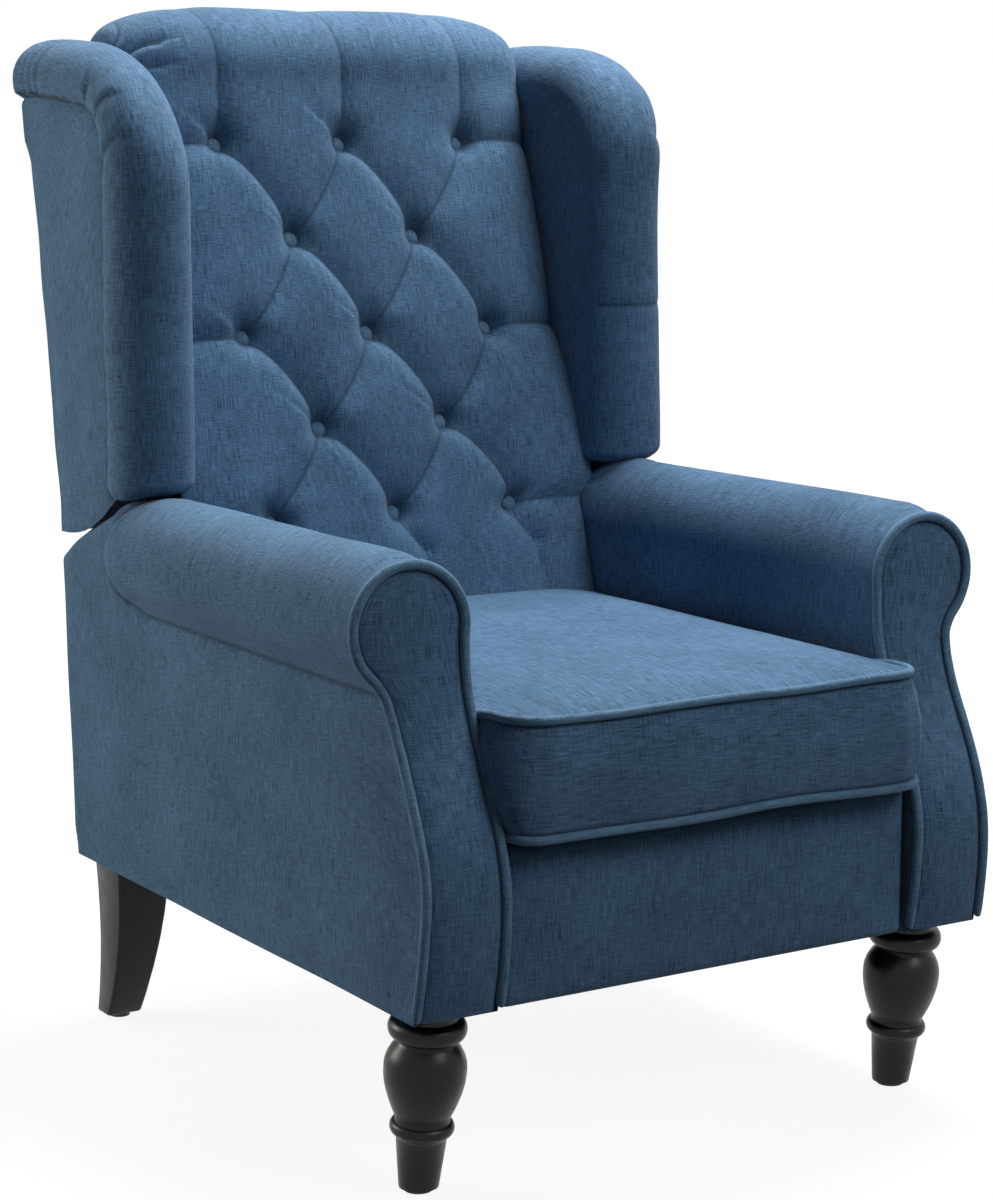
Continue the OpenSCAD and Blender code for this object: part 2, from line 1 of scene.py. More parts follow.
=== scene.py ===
"""Upholstered push-back recliner armchair: fabric, turned legs and folding footrest mechanism."""

import logging
import math
from dataclasses import dataclass
from enum import Enum
from typing import Callable, Sequence

import bmesh
import bpy
import numpy as np
from mathutils import Matrix, Vector, noise


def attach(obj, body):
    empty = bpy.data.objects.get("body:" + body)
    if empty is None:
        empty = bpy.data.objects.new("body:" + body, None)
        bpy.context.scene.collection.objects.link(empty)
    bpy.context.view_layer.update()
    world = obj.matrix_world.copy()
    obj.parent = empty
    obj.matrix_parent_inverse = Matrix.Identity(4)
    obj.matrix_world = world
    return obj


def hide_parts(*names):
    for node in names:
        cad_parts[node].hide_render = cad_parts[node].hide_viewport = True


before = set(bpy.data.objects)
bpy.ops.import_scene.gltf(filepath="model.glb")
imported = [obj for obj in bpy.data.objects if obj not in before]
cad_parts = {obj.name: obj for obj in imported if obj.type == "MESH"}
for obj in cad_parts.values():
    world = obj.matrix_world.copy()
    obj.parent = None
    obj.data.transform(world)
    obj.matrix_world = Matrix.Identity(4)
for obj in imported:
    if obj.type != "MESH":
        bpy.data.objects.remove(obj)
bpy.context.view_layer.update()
LOG = logging.getLogger("armchair")

Array = np.ndarray
Numbers = np.ndarray | float
Colour = tuple[float, float, float, float]
Socket = bpy.types.NodeSocket

# Measures that several pieces share, in metres.
ARM_FRONT = -0.351      # y of the arm fronts at the roll
ARM_BASE = 0.180        # underside of the arms, where the legs end
ARM_TOP = 0.579
BELLY = -0.421          # y of the arm fronts where they stand furthest forward
BELLY_Z = 0.280
PAD_SLOPE = 0.296       # how far the back pad leans back with height
BUTTON_SEAT = 0.0235    # how deep the buttons sit behind the pad's front plane
SHORTEST = 1e-9         # keeps a division by a length safe
FAR = 9.0               # a distance beyond every fold
ON_FACE = 0.9999        # cube coordinate above which a point lies on that face
SHADE_LINE_WIDTH = 0.0018     # reach of the painted shade line in a seam or fold

# ---------------------------------------------------------------- shared shapes


class Side(Enum):
    """Which side of the chair a piece belongs to, as the sign of its x."""

    LEFT = -1
    RIGHT = 1

    @property
    def word(self) -> str:
        """The side's name as used in piece names."""
        return self.name.lower()


def ease(t: Numbers) -> Array:
    """Smooth step from 0 to 1 as t runs from 0 to 1."""
    t = np.clip(t, 0.0, 1.0)
    return t * t * (3.0 - 2.0 * t)


def bell(gap: Array, width: Numbers, power: float = 2) -> Array:
    """A bump that is 1 at no gap and fades out over a width."""
    return np.exp(-((gap / width) ** power))


def quarter(t: float) -> float:
    """Height of a quarter circle of radius 1 at a distance t from its middle, 0 beyond its end."""
    return math.sqrt(max(0.0, 1 - t**2))


def crowded(count: int) -> Array:
    """Values from -1 to 1 that crowd towards both ends."""
    return np.sin(np.linspace(-1, 1, count) * np.pi / 2)


def stops(knots: Sequence[float], cuts: Sequence[int]) -> Array:
    """Places along a line whose stretches are cut differently.

    Args:
        knots: Where one stretch ends and the next one starts.
        cuts: How many parts each stretch has.

    Returns:
        The places, from the first knot to the last.
    """
    parts = [np.linspace(a, b, n + 1)[:-1] for a, b, n in zip(knots, knots[1:], cuts)]
    return np.concatenate([*parts, knots[-1:]])


def arc_points(x: float, z: float, radius: float, start: float, end: float, count: int) -> Array:
    """Points of an arc about x and z, between two angles in degrees."""
    turn = np.radians(np.linspace(start, end, count))
    return np.column_stack([x + radius * np.cos(turn), z + radius * np.sin(turn)])


def upright(x: float, z: Array) -> Array:
    """Points [x, z] at one x and many heights."""
    return np.column_stack([np.full(len(z), x), z])


def level(x: Array, y: Array, z: float) -> Array:
    """Points [x, y, z] at one height."""
    return np.column_stack([x, y, np.full(len(x), z)])


def distances(path: Array) -> Array:
    """Distance along a path to each of its points."""
    return np.concatenate([[0], np.cumsum(np.linalg.norm(np.diff(path, axis=0), axis=1))])


def unit(rows: Array) -> Array:
    """Rows scaled to length 1."""
    return rows / np.maximum(np.linalg.norm(rows, axis=1, keepdims=True), SHORTEST)


def front_line(z: Numbers) -> Array:
    """Side view of the arm fronts: upright at the roll, sweeping forward, tucked back at the bottom.

    Args:
        z: Heights in metres.

    Returns:
        The y of the front at those heights.
    """
    sweep, sweep_high, tuck, tuck_high = 0.070, 0.220, 0.012, 0.100
    z = np.asarray(z, dtype=float)
    upper = ARM_FRONT - sweep * (1 + np.cos(np.pi * np.clip((z - BELLY_Z) / sweep_high, 0, 1))) / 2
    lower = BELLY + tuck * (1 - np.cos(np.pi / 2 * np.clip((BELLY_Z - z) / tuck_high, 0, 1)))
    return np.where(z >= BELLY_Z, upper, lower)


def pad_line(z: Numbers) -> Array:
    """The y of the back pad's sloping front plane at height z."""
    return 0.163 + PAD_SLOPE * (np.asarray(z, dtype=float) - 0.558)


def cover_line(z: Numbers) -> Array:
    """The y of the sloping outside back at height z."""
    return 0.300 + 0.17 * (np.asarray(z, dtype=float) - 0.300)


def side_edge(z: Numbers) -> Array:
    """The y where the outside back meets the wings at height z, a little ahead of its middle."""
    return cover_line(z) - 0.0075 - 0.0075 * np.clip((np.asarray(z, dtype=float) - 0.63) / 0.32, 0, 1)


def lumps(points: Array, scale: float, seed: float) -> Array:
    """Soft noise for hand-stuffed unevenness.

    Args:
        points: Positions, one per row.
        scale: Size of the lumps in metres.
        seed: Offset that makes each piece its own.

    Returns:
        Values from about -1 to 1.
    """
    shift = Vector((seed, seed * 1.7, -seed))
    return np.array([noise.noise(Vector(p) / scale + shift) for p in points])


def gap_to(points: Array, path: Array) -> Array:
    """Distance from points to a polyline less than a metre away.

    Args:
        points: Points, one per row.
        path: The polyline's corners, one per row.

    Returns:
        The distances.
    """
    gap = np.full(len(points), 1.0)
    for a, b in zip(path[:-1], path[1:]):
        step = b - a
        t = np.clip(((points - a) @ step) / (step @ step), 0, 1)
        gap = np.minimum(gap, np.linalg.norm(points - a - t[:, None] * step, axis=1))
    return gap


def turned_in(ring: Array, depth: Array) -> Array:
    """Moves a closed outline inwards along its own normals.

    Args:
        ring: Closed outline, one 2-D point per row, in either direction.
        depth: How far to move each point.

    Returns:
        The smaller outline.
    """
    ahead = np.roll(ring, -1, axis=0) - np.roll(ring, 1, axis=0)
    normal = unit(np.column_stack([ahead[:, 1], -ahead[:, 0]]))
    x, y = ring[:, 0], ring[:, 1]
    area = np.sum(x * np.roll(y, -1) - np.roll(x, -1) * y)
    return ring - normal * depth.reshape(-1, 1) * (1 if area > 0 else -1)


def spaced(points: Sequence[tuple[float, float]], count: int) -> Array:
    """Points at even spacing along a polyline.

    Args:
        points: The polyline's corners.
        count: How many points to return.

    Returns:
        The evenly spaced points, one per row.
    """
    path = np.asarray(points, dtype=float)
    run = distances(path)
    at = np.linspace(0, run[-1], count)
    return np.column_stack([np.interp(at, run, path[:, k]) for k in range(path.shape[1])])


def stand(name: str, data: bpy.types.ID) -> bpy.types.Object:
    """Adds an object for a mesh, lamp or camera to the scene.

    Args:
        name: Object name.
        data: What it shows or is.

    Returns:
        The new object.
    """
    thing = bpy.data.objects.new(name, data)
    bpy.context.scene.collection.objects.link(thing)
    return thing


def finish_mesh(
    bm: bmesh.types.BMesh, name: str, finish: "Finish", angle: float = 50.0
) -> bpy.types.Object:
    """Turns a bmesh into a smoothly shaded piece with its finish.

    Args:
        bm: The built mesh, freed here.
        name: Piece name.
        finish: Finish whose material the piece gets.
        angle: Edges steeper than this stay crisp, degrees.

    Returns:
        The new object, at the origin.
    """
    bmesh.ops.recalc_face_normals(bm, faces=bm.faces)
    limit = math.radians(angle)
    for face in bm.faces:
        face.smooth = True
    for edge in bm.edges:
        if len(edge.link_faces) == 2:
            edge.smooth = edge.calc_face_angle(0.0) < limit
    mesh = bpy.data.meshes.new(name)
    bm.to_mesh(mesh)
    bm.free()
    mesh.materials.append(finish.material())
    return stand(name, mesh)


def map_flat(faces: Sequence[bmesh.types.BMFace], uv: bmesh.types.BMLayerItem) -> None:
    """Reads the cloth of some faces straight from x and z.

    Args:
        faces: The faces.
        uv: The cloth map that they are written to.
    """
    for face in faces:
        for corner in face.loops:
            corner[uv].uv = (corner.vert.co.x, corner.vert.co.z)


def loft(
    name: str,
    rings: Array,
    finish: "Finish",
    shade_marks: Array | None = None,
    angle: float = 50.0,
    turn: bool = False,
) -> bpy.types.Object:
    """Skins a row of closed outlines and fills its ends, with a UV map in metres that follows the cloth.

    Args:
        name: Piece name.
        rings: Outlines, shaped (rows, points, 3).
        finish: Finish of the piece.
        shade_marks: Strength of the painted shade at each point, shaped (rows, points).
        angle: Edges steeper than this stay crisp, degrees.
        turn: Whether the cloth's lengthwise threads run around the outlines.

    Returns:
        The new object.
    """
    rings = np.concatenate([rings, rings[:, :1]], axis=1)
    if shade_marks is not None:
        shade_marks = np.concatenate([shade_marks, shade_marks[:, :1]], axis=1)
    rows, cols = rings.shape[:2]
    around = np.linalg.norm(np.diff(rings, axis=1), axis=2).mean(axis=0)
    along = np.linalg.norm(np.diff(rings, axis=0), axis=2).max(axis=1)
    u_at = np.concatenate([[0], np.cumsum(around)])
    v_at = np.concatenate([[0], np.cumsum(along)])
    bm = bmesh.new()
    bmesh.ops.create_grid(bm, x_segments=cols - 1, y_segments=rows - 1, size=1.0)
    uv = bm.loops.layers.uv.new("cloth")
    # this layer holds painted shade for folds, seams and pits
    crease_shade = bm.verts.layers.float.new("crease_shade")
    place = {
        vert.index: (round((vert.co.x + 1) / 2 * (cols - 1)), round((vert.co.y + 1) / 2 * (rows - 1)))
        for vert in bm.verts
    }
    for face in bm.faces:
        for corner in face.loops:
            i, j = place[corner.vert.index]
            corner[uv].uv = (v_at[j], u_at[i]) if turn else (u_at[i], v_at[j])
    for vert in bm.verts:
        i, j = place[vert.index]
        vert.co = rings[j, i]
        if shade_marks is not None:
            vert[crease_shade] = shade_marks[j, i]
    bmesh.ops.remove_doubles(bm, verts=bm.verts, dist=2e-6)
    rim = [edge for edge in bm.edges if len(edge.link_faces) == 1]
    if rim:
        map_flat(bmesh.ops.holes_fill(bm, edges=rim, sides=0)["faces"], uv)
    return finish_mesh(bm, name, finish, angle)


def pad_box(
    name: str,
    cuts: int,
    place: Callable[[Array, Array, Array], Array],
    finish: "Finish",
    crosswise: bool = False,
    shade: Callable[[Array], Array] | None = None,
) -> bpy.types.Object:
    """Makes a closed pad from a finely cut cube, with a UV map in metres on each of its six sides.

    Args:
        name: Piece name.
        cuts: Cuts along each edge of the cube.
        place: Gives the pad's points from cube coordinates between -1 and 1.
        finish: Finish of the pad.
        crosswise: Whether the cloth's long threads run across the front.
        shade: Gives the strength of the painted shade at the placed points, if the pad has seams.

    Returns:
        The new object.
    """
    bm = bmesh.new()
    bmesh.ops.create_cube(bm, size=2.0)
    bmesh.ops.subdivide_edges(bm, edges=bm.edges[:], cuts=cuts, use_grid_fill=True)
    uv = bm.loops.layers.uv.new("cloth")
    # this layer holds painted shade along seams and under the cushion's overhang
    crease_shade = bm.verts.layers.float.new("crease_shade")
    cube = np.array([vert.co for vert in bm.verts])
    bm.normal_update()
    axes = [max(range(3), key=lambda k: abs(face.normal[k])) for face in bm.faces]
    moved = place(cube[:, 0], cube[:, 1], cube[:, 2])
    strengths = shade(moved) if shade else np.zeros(len(moved))
    for vert, point, strength in zip(bm.verts, moved, strengths):
        vert.co = point
        vert[crease_shade] = strength
    for face, axis in zip(bm.faces, axes):
        for corner in face.loops:
            x, y, z = corner.vert.co
            sides = ((z, y), (z, x), (x, y)) if crosswise else ((y, z), (x, z), (x, y))
            corner[uv].uv = sides[axis]
    return finish_mesh(bm, name, finish, 60.0)


def graded(t: Array, half: float, rim: float, share: float = 0.25) -> Array:
    """Spreads cube coordinates so that a share of them falls in the rim.

    Args:
        t: Coordinates between -1 and 1.
        half: Half the size along this axis.
        rim: Width of the finely divided rim.
        share: Part of the coordinates that the rim gets.

    Returns:
        Positions between -half and half.
    """
    size = np.abs(t)
    inner = (half - rim) * size / (1 - share)
    outer = (half - rim) + rim * (size - (1 - share)) / share
    return np.sign(t) * np.where(size < 1 - share, inner, outer)


def cord_rings(path: Array, radius: float, sides: int = 12) -> Array:
    """Round outlines along a path, closed to a point at both ends.

    Args:
        path: The cord's middle line, one point per row.
        radius: Radius of the cord.
        sides: Points around the cord.

    Returns:
        The outlines, shaped (rows, sides, 3).
    """
    steps = unit(np.gradient(path, axis=0))
    across = Vector(steps[0]).cross(Vector((0, 0, 1)) if abs(steps[0][2]) < 0.9 else Vector((1, 0, 0)))
    turn = np.linspace(0, 2 * math.pi, sides, endpoint=False)
    rings = []
    for k, (point, step) in enumerate(zip(path, steps)):
        ahead = Vector(step)
        across = (across - ahead * across.dot(ahead)).normalized() if k else across.normalized()
        other = ahead.cross(across)
        size = radius * (0.02 if k in (0, len(path) - 1) else 1.0)
        rings.append([Vector(point) + (across * math.cos(a) + other * math.sin(a)) * size for a in turn])
    return np.array(rings)


def welt(name: str, path: Array, radius: float) -> bpy.types.Object:
    """A cord covered in the upholstery cloth, cut on the bias and sewn in a seam, in the lighter cloth
    that paints its highlight.
    """
    return loft(name, cord_rings(path, radius), LIT_BIAS_LINEN, angle=75.0)


def reclothe(names: Sequence[str], finish: "Finish") -> None:
    """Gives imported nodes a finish, with their meshes left as they are.

    Args:
        names: Node names.
        finish: The finish they get.
    """
    for name in names:
        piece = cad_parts[name]
        piece.data.materials.clear()
        piece.data.materials.append(finish.material())
        LOG.info("finished %s in %s", name, finish.name)


def settle(piece: bpy.types.Object, body: str, slot: str, *nodes: str) -> bpy.types.Object:
    """Puts a piece on its body and hides the nodes that it stands for.

    Args:
        piece: The finished piece.
        body: Body that it moves with.
        slot: Not used.
        nodes: Nodes that it replaces.

    Returns:
        The same piece.
    """
    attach(piece, body)
    if nodes:
        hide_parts(*nodes)
    LOG.info("made %s: %d faces on %s", piece.name, len(piece.data.polygons), body)
    return piece


# ---------------------------------------------------------------- finishes


class Nodes:
    """Small helper that adds and joins shader nodes in one tree."""

    def __init__(self, tree: bpy.types.NodeTree) -> None:
        """Keeps the tree that nodes are added to."""
        self.tree = tree

    def add(self, kind: str, inputs: dict | None = None, **values: object) -> bpy.types.Node:
        """Adds a node.

        Args:
            kind: Node type; the ShaderNode prefix may be left off.
            inputs: What its inputs get, by name or number.
            **values: Node properties to set.

        Returns:
            The new node.
        """
        node = self.tree.nodes.new(kind if kind.startswith("Node") else "ShaderNode" + kind)
        for key, value in values.items():
            setattr(node, key, value)
        self.feed(node, inputs or {})
        return node

    def feed(self, node: bpy.types.Node, inputs: dict) -> None:
        """Links each of some inputs of a node to a socket, or sets it to a plain value.

        Args:
            node: The node.
            inputs: Sockets or plain values, by input name or number.
        """
        for key, value in inputs.items():
            if isinstance(value, Socket):
                self.tree.links.new(value, node.inputs[key])
            else:
                node.inputs[key].default_value = value

    def math(self, how: str, *values: object, clamp: bool = False) -> Socket:
        """The result of a Math node on sockets or numbers, clamped to 0 and 1 if asked for."""
        return self.add("Math", dict(enumerate(values)), operation=how, use_clamp=clamp).outputs[0]

    def total(self, first: Socket, *others: Socket, clamp: bool = False) -> Socket:
        """The sum of sockets, each step clamped to 0 and 1 if asked for.

        Args:
            first: The first socket.
            *others: The sockets that are added to it.
            clamp: Whether each step is clamped.

        Returns:
            The result socket.
        """
        for value in others:
            first = self.math("ADD", first, value, clamp=clamp)
        return first

    def noise(self, vector: Socket, detail: float = 2.0, scale: float = 1.0) -> Socket:
        """The value of a Noise texture, read at a vector."""
        return self.add("TexNoise", {"Vector": vector, "Scale": scale, "Detail": detail}).outputs["Fac"]

    def stretch(self, vector: Socket, by: Sequence[float]) -> Socket:
        """A vector multiplied axis by axis."""
        return self.add("VectorMath", {0: vector, 1: tuple(by)}, operation="MULTIPLY").outputs[0]

    def spread(self, value: Socket, low: float, high: float, start: float, end: float) -> Socket:
        """A value mapped from low..high to start..end, clamped."""
        ends = {"Value": value, "From Min": low, "From Max": high, "To Min": start, "To Max": end}
        return self.add("MapRange", ends).outputs["Result"]

    def blend(self, share: Socket, first: object, second: object) -> Socket:
        """Two colours, sockets or RGBA, mixed by a share of the second."""
        return self.add("Mix", {0: share, 6: first, 7: second}, data_type="RGBA").outputs[2]

    def bump(self, height: Socket, strength: float, distance: float) -> Socket:
        """A normal bent by a height."""
        inputs = {"Height": height, "Strength": strength, "Distance": distance}
        return self.add("Bump", inputs).outputs[0]

    def wave(self, place: Socket, count: float) -> Socket:
        """The sine of a place with a number of turns in each metre."""
        return self.math("SINE", self.math("MULTIPLY", place, 2 * math.pi * count))

    def split(self, vector: Socket) -> Sequence[Socket]:
        """The x, y and z of a vector."""
        return self.add("SeparateXYZ", {0: vector}).outputs

    def seen_by(self, first: str, *others: str) -> Socket:
        """1 for rays of the named kinds, else 0.

        Args:
            first: Light Path output of the first kind.
            *others: Light Path outputs of further kinds.

        Returns:
            The result socket.
        """
        rays = self.add("LightPath").outputs
        seen = rays[first]
        for kind in others:
            seen = self.math("MAXIMUM", seen, rays[kind])
        return seen


def rgb(red: int, green: int, blue: int) -> Colour:
    """A screen colour as linear RGBA."""
    screen = [c / 255 for c in (red, green, blue)]
    return (*(((c + 0.055) / 1.055) ** 2.4 if c > 0.04045 else c / 12.92 for c in screen), 1.0)


def effect(
    name: str, inputs: dict[str, str], outputs: Sequence[str], fill: Callable[..., Sequence[Socket]]
) -> bpy.types.NodeTree:
    """Finds a shared shader group, or builds it on first use.

    Args:
        name: Group name.
        inputs: Input names and their socket kinds.
        outputs: Names of its outputs, all plain numbers.
        fill: Adds the group's nodes from a helper and the input sockets, and gives the output values.

    Returns:
        The group.
    """
    group = bpy.data.node_groups.get(name)
    if group:
        return group
    group = bpy.data.node_groups.new(name, "ShaderNodeTree")
    for key, kind in inputs.items():
        group.interface.new_socket(name=key, in_out="INPUT", socket_type="NodeSocket" + kind)
    for key in outputs:
        group.interface.new_socket(name=key, in_out="OUTPUT", socket_type="NodeSocketFloat")
    make = Nodes(group)
    start = make.add("NodeGroupInput")
    results = fill(make, *(start.outputs[key] for key in inputs))
    make.add("NodeGroupOutput", dict(zip(outputs, results)))
    return group


def linen_weave(make: Nodes, cloth: Socket, slub: Socket) -> tuple[Socket, Socket, Socket]:
    """The slubby plain weave shared by every linen finish.

    Args:
        make: Helper on the group's tree.
        cloth: Position on the cloth in metres.
        slub: How strong the slubs are.

    Returns:
        Thread tone, darker threads, and height for bump.
    """
    warp = make.noise(make.stretch(cloth, (1450, 60, 0)), 0.5)
    weft = make.noise(make.stretch(cloth, (68, 1450, 0)), 0.5)
    broad = make.noise(make.stretch(cloth, (420, 22, 0)))
    cloud = make.noise(make.stretch(cloth, (9, 9, 0)), 3.0)
    fine = make.noise(make.stretch(cloth, (1100, 1100, 0)), 1.0)
    across, along = make.split(cloth)[:2]
    plain = make.math("MULTIPLY", make.wave(across, 560), make.wave(along, 620))
    slubs = make.total(
        make.spread(warp, 0.25, 0.75, -0.5, 0.5),
        make.spread(weft, 0.25, 0.75, -0.42, 0.42),
        make.spread(broad, 0.3, 0.7, -0.16, 0.16),
    )
    slubs = make.math("MULTIPLY", slubs, slub)
    clouds = make.spread(cloud, 0.3, 0.7, 0.39, 0.61)
    tone = make.total(slubs, clouds, make.spread(fine, 0.25, 0.75, -0.20, 0.20))
    dark_warp = make.noise(make.stretch(cloth, (1250, 34, 3)), 0.0)
    dark_weft = make.noise(make.stretch(cloth, (38, 1250, 7)), 0.0)
    dark = make.math(
        "MAXIMUM",
        make.spread(dark_warp, 0.34, 0.22, 0.0, 1.0),
        make.spread(dark_weft, 0.33, 0.21, 0.0, 1.0),
    )
    height = make.total(make.math("MULTIPLY", plain, 0.22), make.math("MULTIPLY", slubs, 0.9))
    return make.spread(tone, 0.0, 1.0, 0.0, 1.0), dark, height


def worn_grain(make: Nodes, where: Socket, size: Socket) -> tuple[Socket, Socket, Socket]:
    """Fine unevenness shared by the hard finishes.

    Args:
        make: Helper on the group's tree.
        where: Position on the object.
        size: How many mottles fit in a metre.

    Returns:
        Mottling, scuffs, and height for bump.
    """
    scaled = make.add("VectorMath", {0: where, "Scale": size}, operation="SCALE").outputs[0]
    scratch = make.noise(make.stretch(scaled, (6, 6, 0.7)))
    scuff = make.spread(scratch, 0.62, 0.74, 0.0, 1.0)
    return make.noise(scaled, 4.0), scuff, make.noise(scaled, 2.0, 9.0)


@dataclass(frozen=True)
class Finish:
    """A surface finish whose material is built once, on first use."""

    name: str

    def material(self) -> bpy.types.Material:
        """The finish's material.

        Returns:
            The material, built once and then found by its name.
        """
        found = bpy.data.materials.get(self.name)
        if found:
            return found
        made = bpy.data.materials.new(self.name)
        made.use_nodes = True
        make = Nodes(made.node_tree)
        make.feed(made.node_tree.nodes["Principled BSDF"], self.dress(make))
        return made

    def dress(self, make: Nodes) -> dict[str, object]:
        """Builds the finish's nodes.

        Args:
            make: Helper on the material's tree.

        Returns:
            What the inputs of the material's shader get.
        """
        raise NotImplementedError


@dataclass(frozen=True)
class Linen(Finish):
    """Slubby linen-look upholstery cloth, read along the piece's own cloth map."""

    light: Colour = rgb(94, 132, 168)
    deep: Colour = rgb(33, 63, 90)
    slub: float = 0.66
    shaded: float = 0.45

    def dress(self, make: Nodes) -> dict[str, object]:
        """Builds the weave, the darker threads, the painted shade and the thread bump.

        Args:
            make: Helper on the material's tree.

        Returns:
            What the inputs of the material's shader get.
        """
        inputs, outputs = {"Cloth": "Vector", "Slub": "Float"}, ("Tone", "Dark Thread", "Height")
        group = effect("linen weave", inputs, outputs, linen_weave)
        cloth = make.add("UVMap", uv_map="cloth").outputs[0]
        weave = make.add("Group", {"Cloth": cloth, "Slub": self.slub}, node_tree=group)
        tone, dark_thread, height = weave.outputs
        crease_shade = make.add("Attribute", attribute_name="crease_shade").outputs["Fac"]
        shade = (*(c * self.shaded for c in self.deep[:3]), 1.0)
        colour = make.blend(tone, self.deep, self.light)
        colour = make.blend(make.math("MULTIPLY", dark_thread, 0.70), colour, shade)
        # painted shade: the cloth darkens towards the shade colour where the layer marks folds, seams,
        # pits and the cushion's shadow
        colour = make.blend(make.math("MULTIPLY", crease_shade, 0.9, clamp=True), colour, shade)
        return {
            "Base Color": colour,
            "Roughness": make.spread(tone, 0.0, 1.0, 0.95, 0.82),
            "Normal": make.bump(height, 0.55, 0.0006),
            "Sheen Weight": 0.12,
            "Sheen Roughness": 0.55,
            "Sheen Tint": (0.70, 0.85, 1.0, 1.0),
            "Specular IOR Level": 0.25,
        }


@dataclass(frozen=True)
class Hard(Finish):
    """A painted, plated or moulded surface with mottling, fine scuffs and bump."""

    colour: Colour = rgb(30, 30, 30)
    worn: Colour = rgb(60, 60, 60)
    metallic: float = 0.0
    rough: float = 0.4
    bump: float = 0.15
    size: float = 60.0
    shine: float = 0.5

    def dress(self, make: Nodes) -> dict[str, object]:
        """Builds the mottled colour, the scuffs and the bump.

        Args:
            make: Helper on the material's tree.

        Returns:
            What the inputs of the material's shader get.
        """
        inputs, outputs = {"Where": "Vector", "Size": "Float"}, ("Mottle", "Scuff", "Height")
        group = effect("surface wear", inputs, outputs, worn_grain)
        where = make.add("TexCoord").outputs["Object"]
        wear = make.add("Group", {"Where": where, "Size": self.size}, node_tree=group)
        mottle, scuff, height = wear.outputs
        colour = make.blend(make.spread(mottle, 0.35, 0.7, 0.0, 0.35), self.colour, self.worn)
        rough = make.spread(mottle, 0.3, 0.7, self.rough - 0.06, self.rough + 0.08)
        return {
            "Base Color": make.blend(make.math("MULTIPLY", scuff, 0.4), colour, self.worn),
            "Roughness": make.total(rough, make.math("MULTIPLY", scuff, 0.12)),
            "Normal": make.bump(height, self.bump, 0.0004),
            "Metallic": self.metallic,
            "Specular IOR Level": self.shine,
        }


@dataclass(frozen=True)
class Timber(Finish):
    """Sawn softwood with rings stretched along one axis."""

    pale: Colour = rgb(214, 178, 128)
    dark: Colour = rgb(164, 118, 70)
    along: tuple[float, float, float] = (4, 60, 60)

    def dress(self, make: Nodes) -> dict[str, object]:
        """Builds the growth rings, pores and sawn bump.

        Args:
            make: Helper on the material's tree.

        Returns:
            What the inputs of the material's shader get.
        """
        where = make.stretch(make.add("TexCoord").outputs["Object"], self.along)
        pores = make.noise(make.stretch(where, (2, 6, 6)))
        rings = make.math("SINE", make.math("MULTIPLY", make.noise(where, 4.0), 34.0))
        stripes, dots = make.spread(rings, -1, 1, 0.1, 0.7), make.spread(pores, 0.5, 0.8, 0.0, 0.35)
        share = make.total(stripes, dots, clamp=True)
        return {
            "Base Color": make.blend(share, self.pale, self.dark),
            "Roughness": make.spread(pores, 0.3, 0.7, 0.55, 0.75),
            "Normal": make.bump(share, 0.3, 0.0005),
        }


@dataclass(frozen=True)
class Webbing(Finish):
    """Woven elastic webbing with lengthwise ribs and cross threads."""

    pitch: float = 0.0016

    def dress(self, make: Nodes) -> dict[str, object]:
        """Builds the ribs and cross threads on object coordinates.

        Args:
            make: Helper on the material's tree.

        Returns:
            What the inputs of the material's shader get.
        """
        where = make.add("TexCoord").outputs["Object"]
        x, _, z = make.split(where)
        weave = make.math("MULTIPLY", make.wave(x, 1 / self.pitch), make.wave(z, 1 / self.pitch))
        fuzz = make.noise(make.stretch(where, (400, 400, 400)))
        threads, lint = make.spread(weave, -1, 1, 0.2, 0.6), make.spread(fuzz, 0.3, 0.7, -0.15, 0.15)
        share = make.total(threads, lint, clamp=True)
        return {
            "Base Color": make.blend(share, rgb(58, 56, 52), rgb(150, 144, 132)),
            "Roughness": make.spread(fuzz, 0.3, 0.7, 0.8, 0.95),
            "Normal": make.bump(weave, 0.6, 0.0005),
        }


LINEN = Linen("linen")
# a lighter copy of the upholstery cloth for welts and buttons, painted light for the light that these
# rounded parts catch
LIT_BIAS_LINEN = Linen("linen bias painted lighter", light=rgb(113, 151, 184), deep=rgb(53, 85, 112), slub=0.50)
LEG_BLACK = Hard("ebonised leg lacquer", rgb(5, 5, 5), rgb(16, 14, 14), 0.0, 0.33, 0.12, 70.0, 0.24)
PINE = Timber("pine rail")
PINE_UP = Timber("pine stile", along=(60, 60, 4))
ZINC = Hard("zinc plate", rgb(176, 178, 180), rgb(128, 128, 126), 1.0, 0.34, 0.12, 90.0)
POWDER = Hard("black powder coat", rgb(30, 31, 33), rgb(62, 62, 64), 0.15, 0.5, 0.45, 120.0)
SPRING = Hard("oiled spring steel", rgb(92, 94, 98), rgb(60, 58, 56), 1.0, 0.32, 0.1, 80.0)
NYLON = Hard("moulded glide", rgb(44, 44, 46), rgb(76, 76, 78), 0.0, 0.5, 0.3, 90.0)
STRAP = Webbing("elastic webbing")


# ---------------------------------------------------------------- base and arms


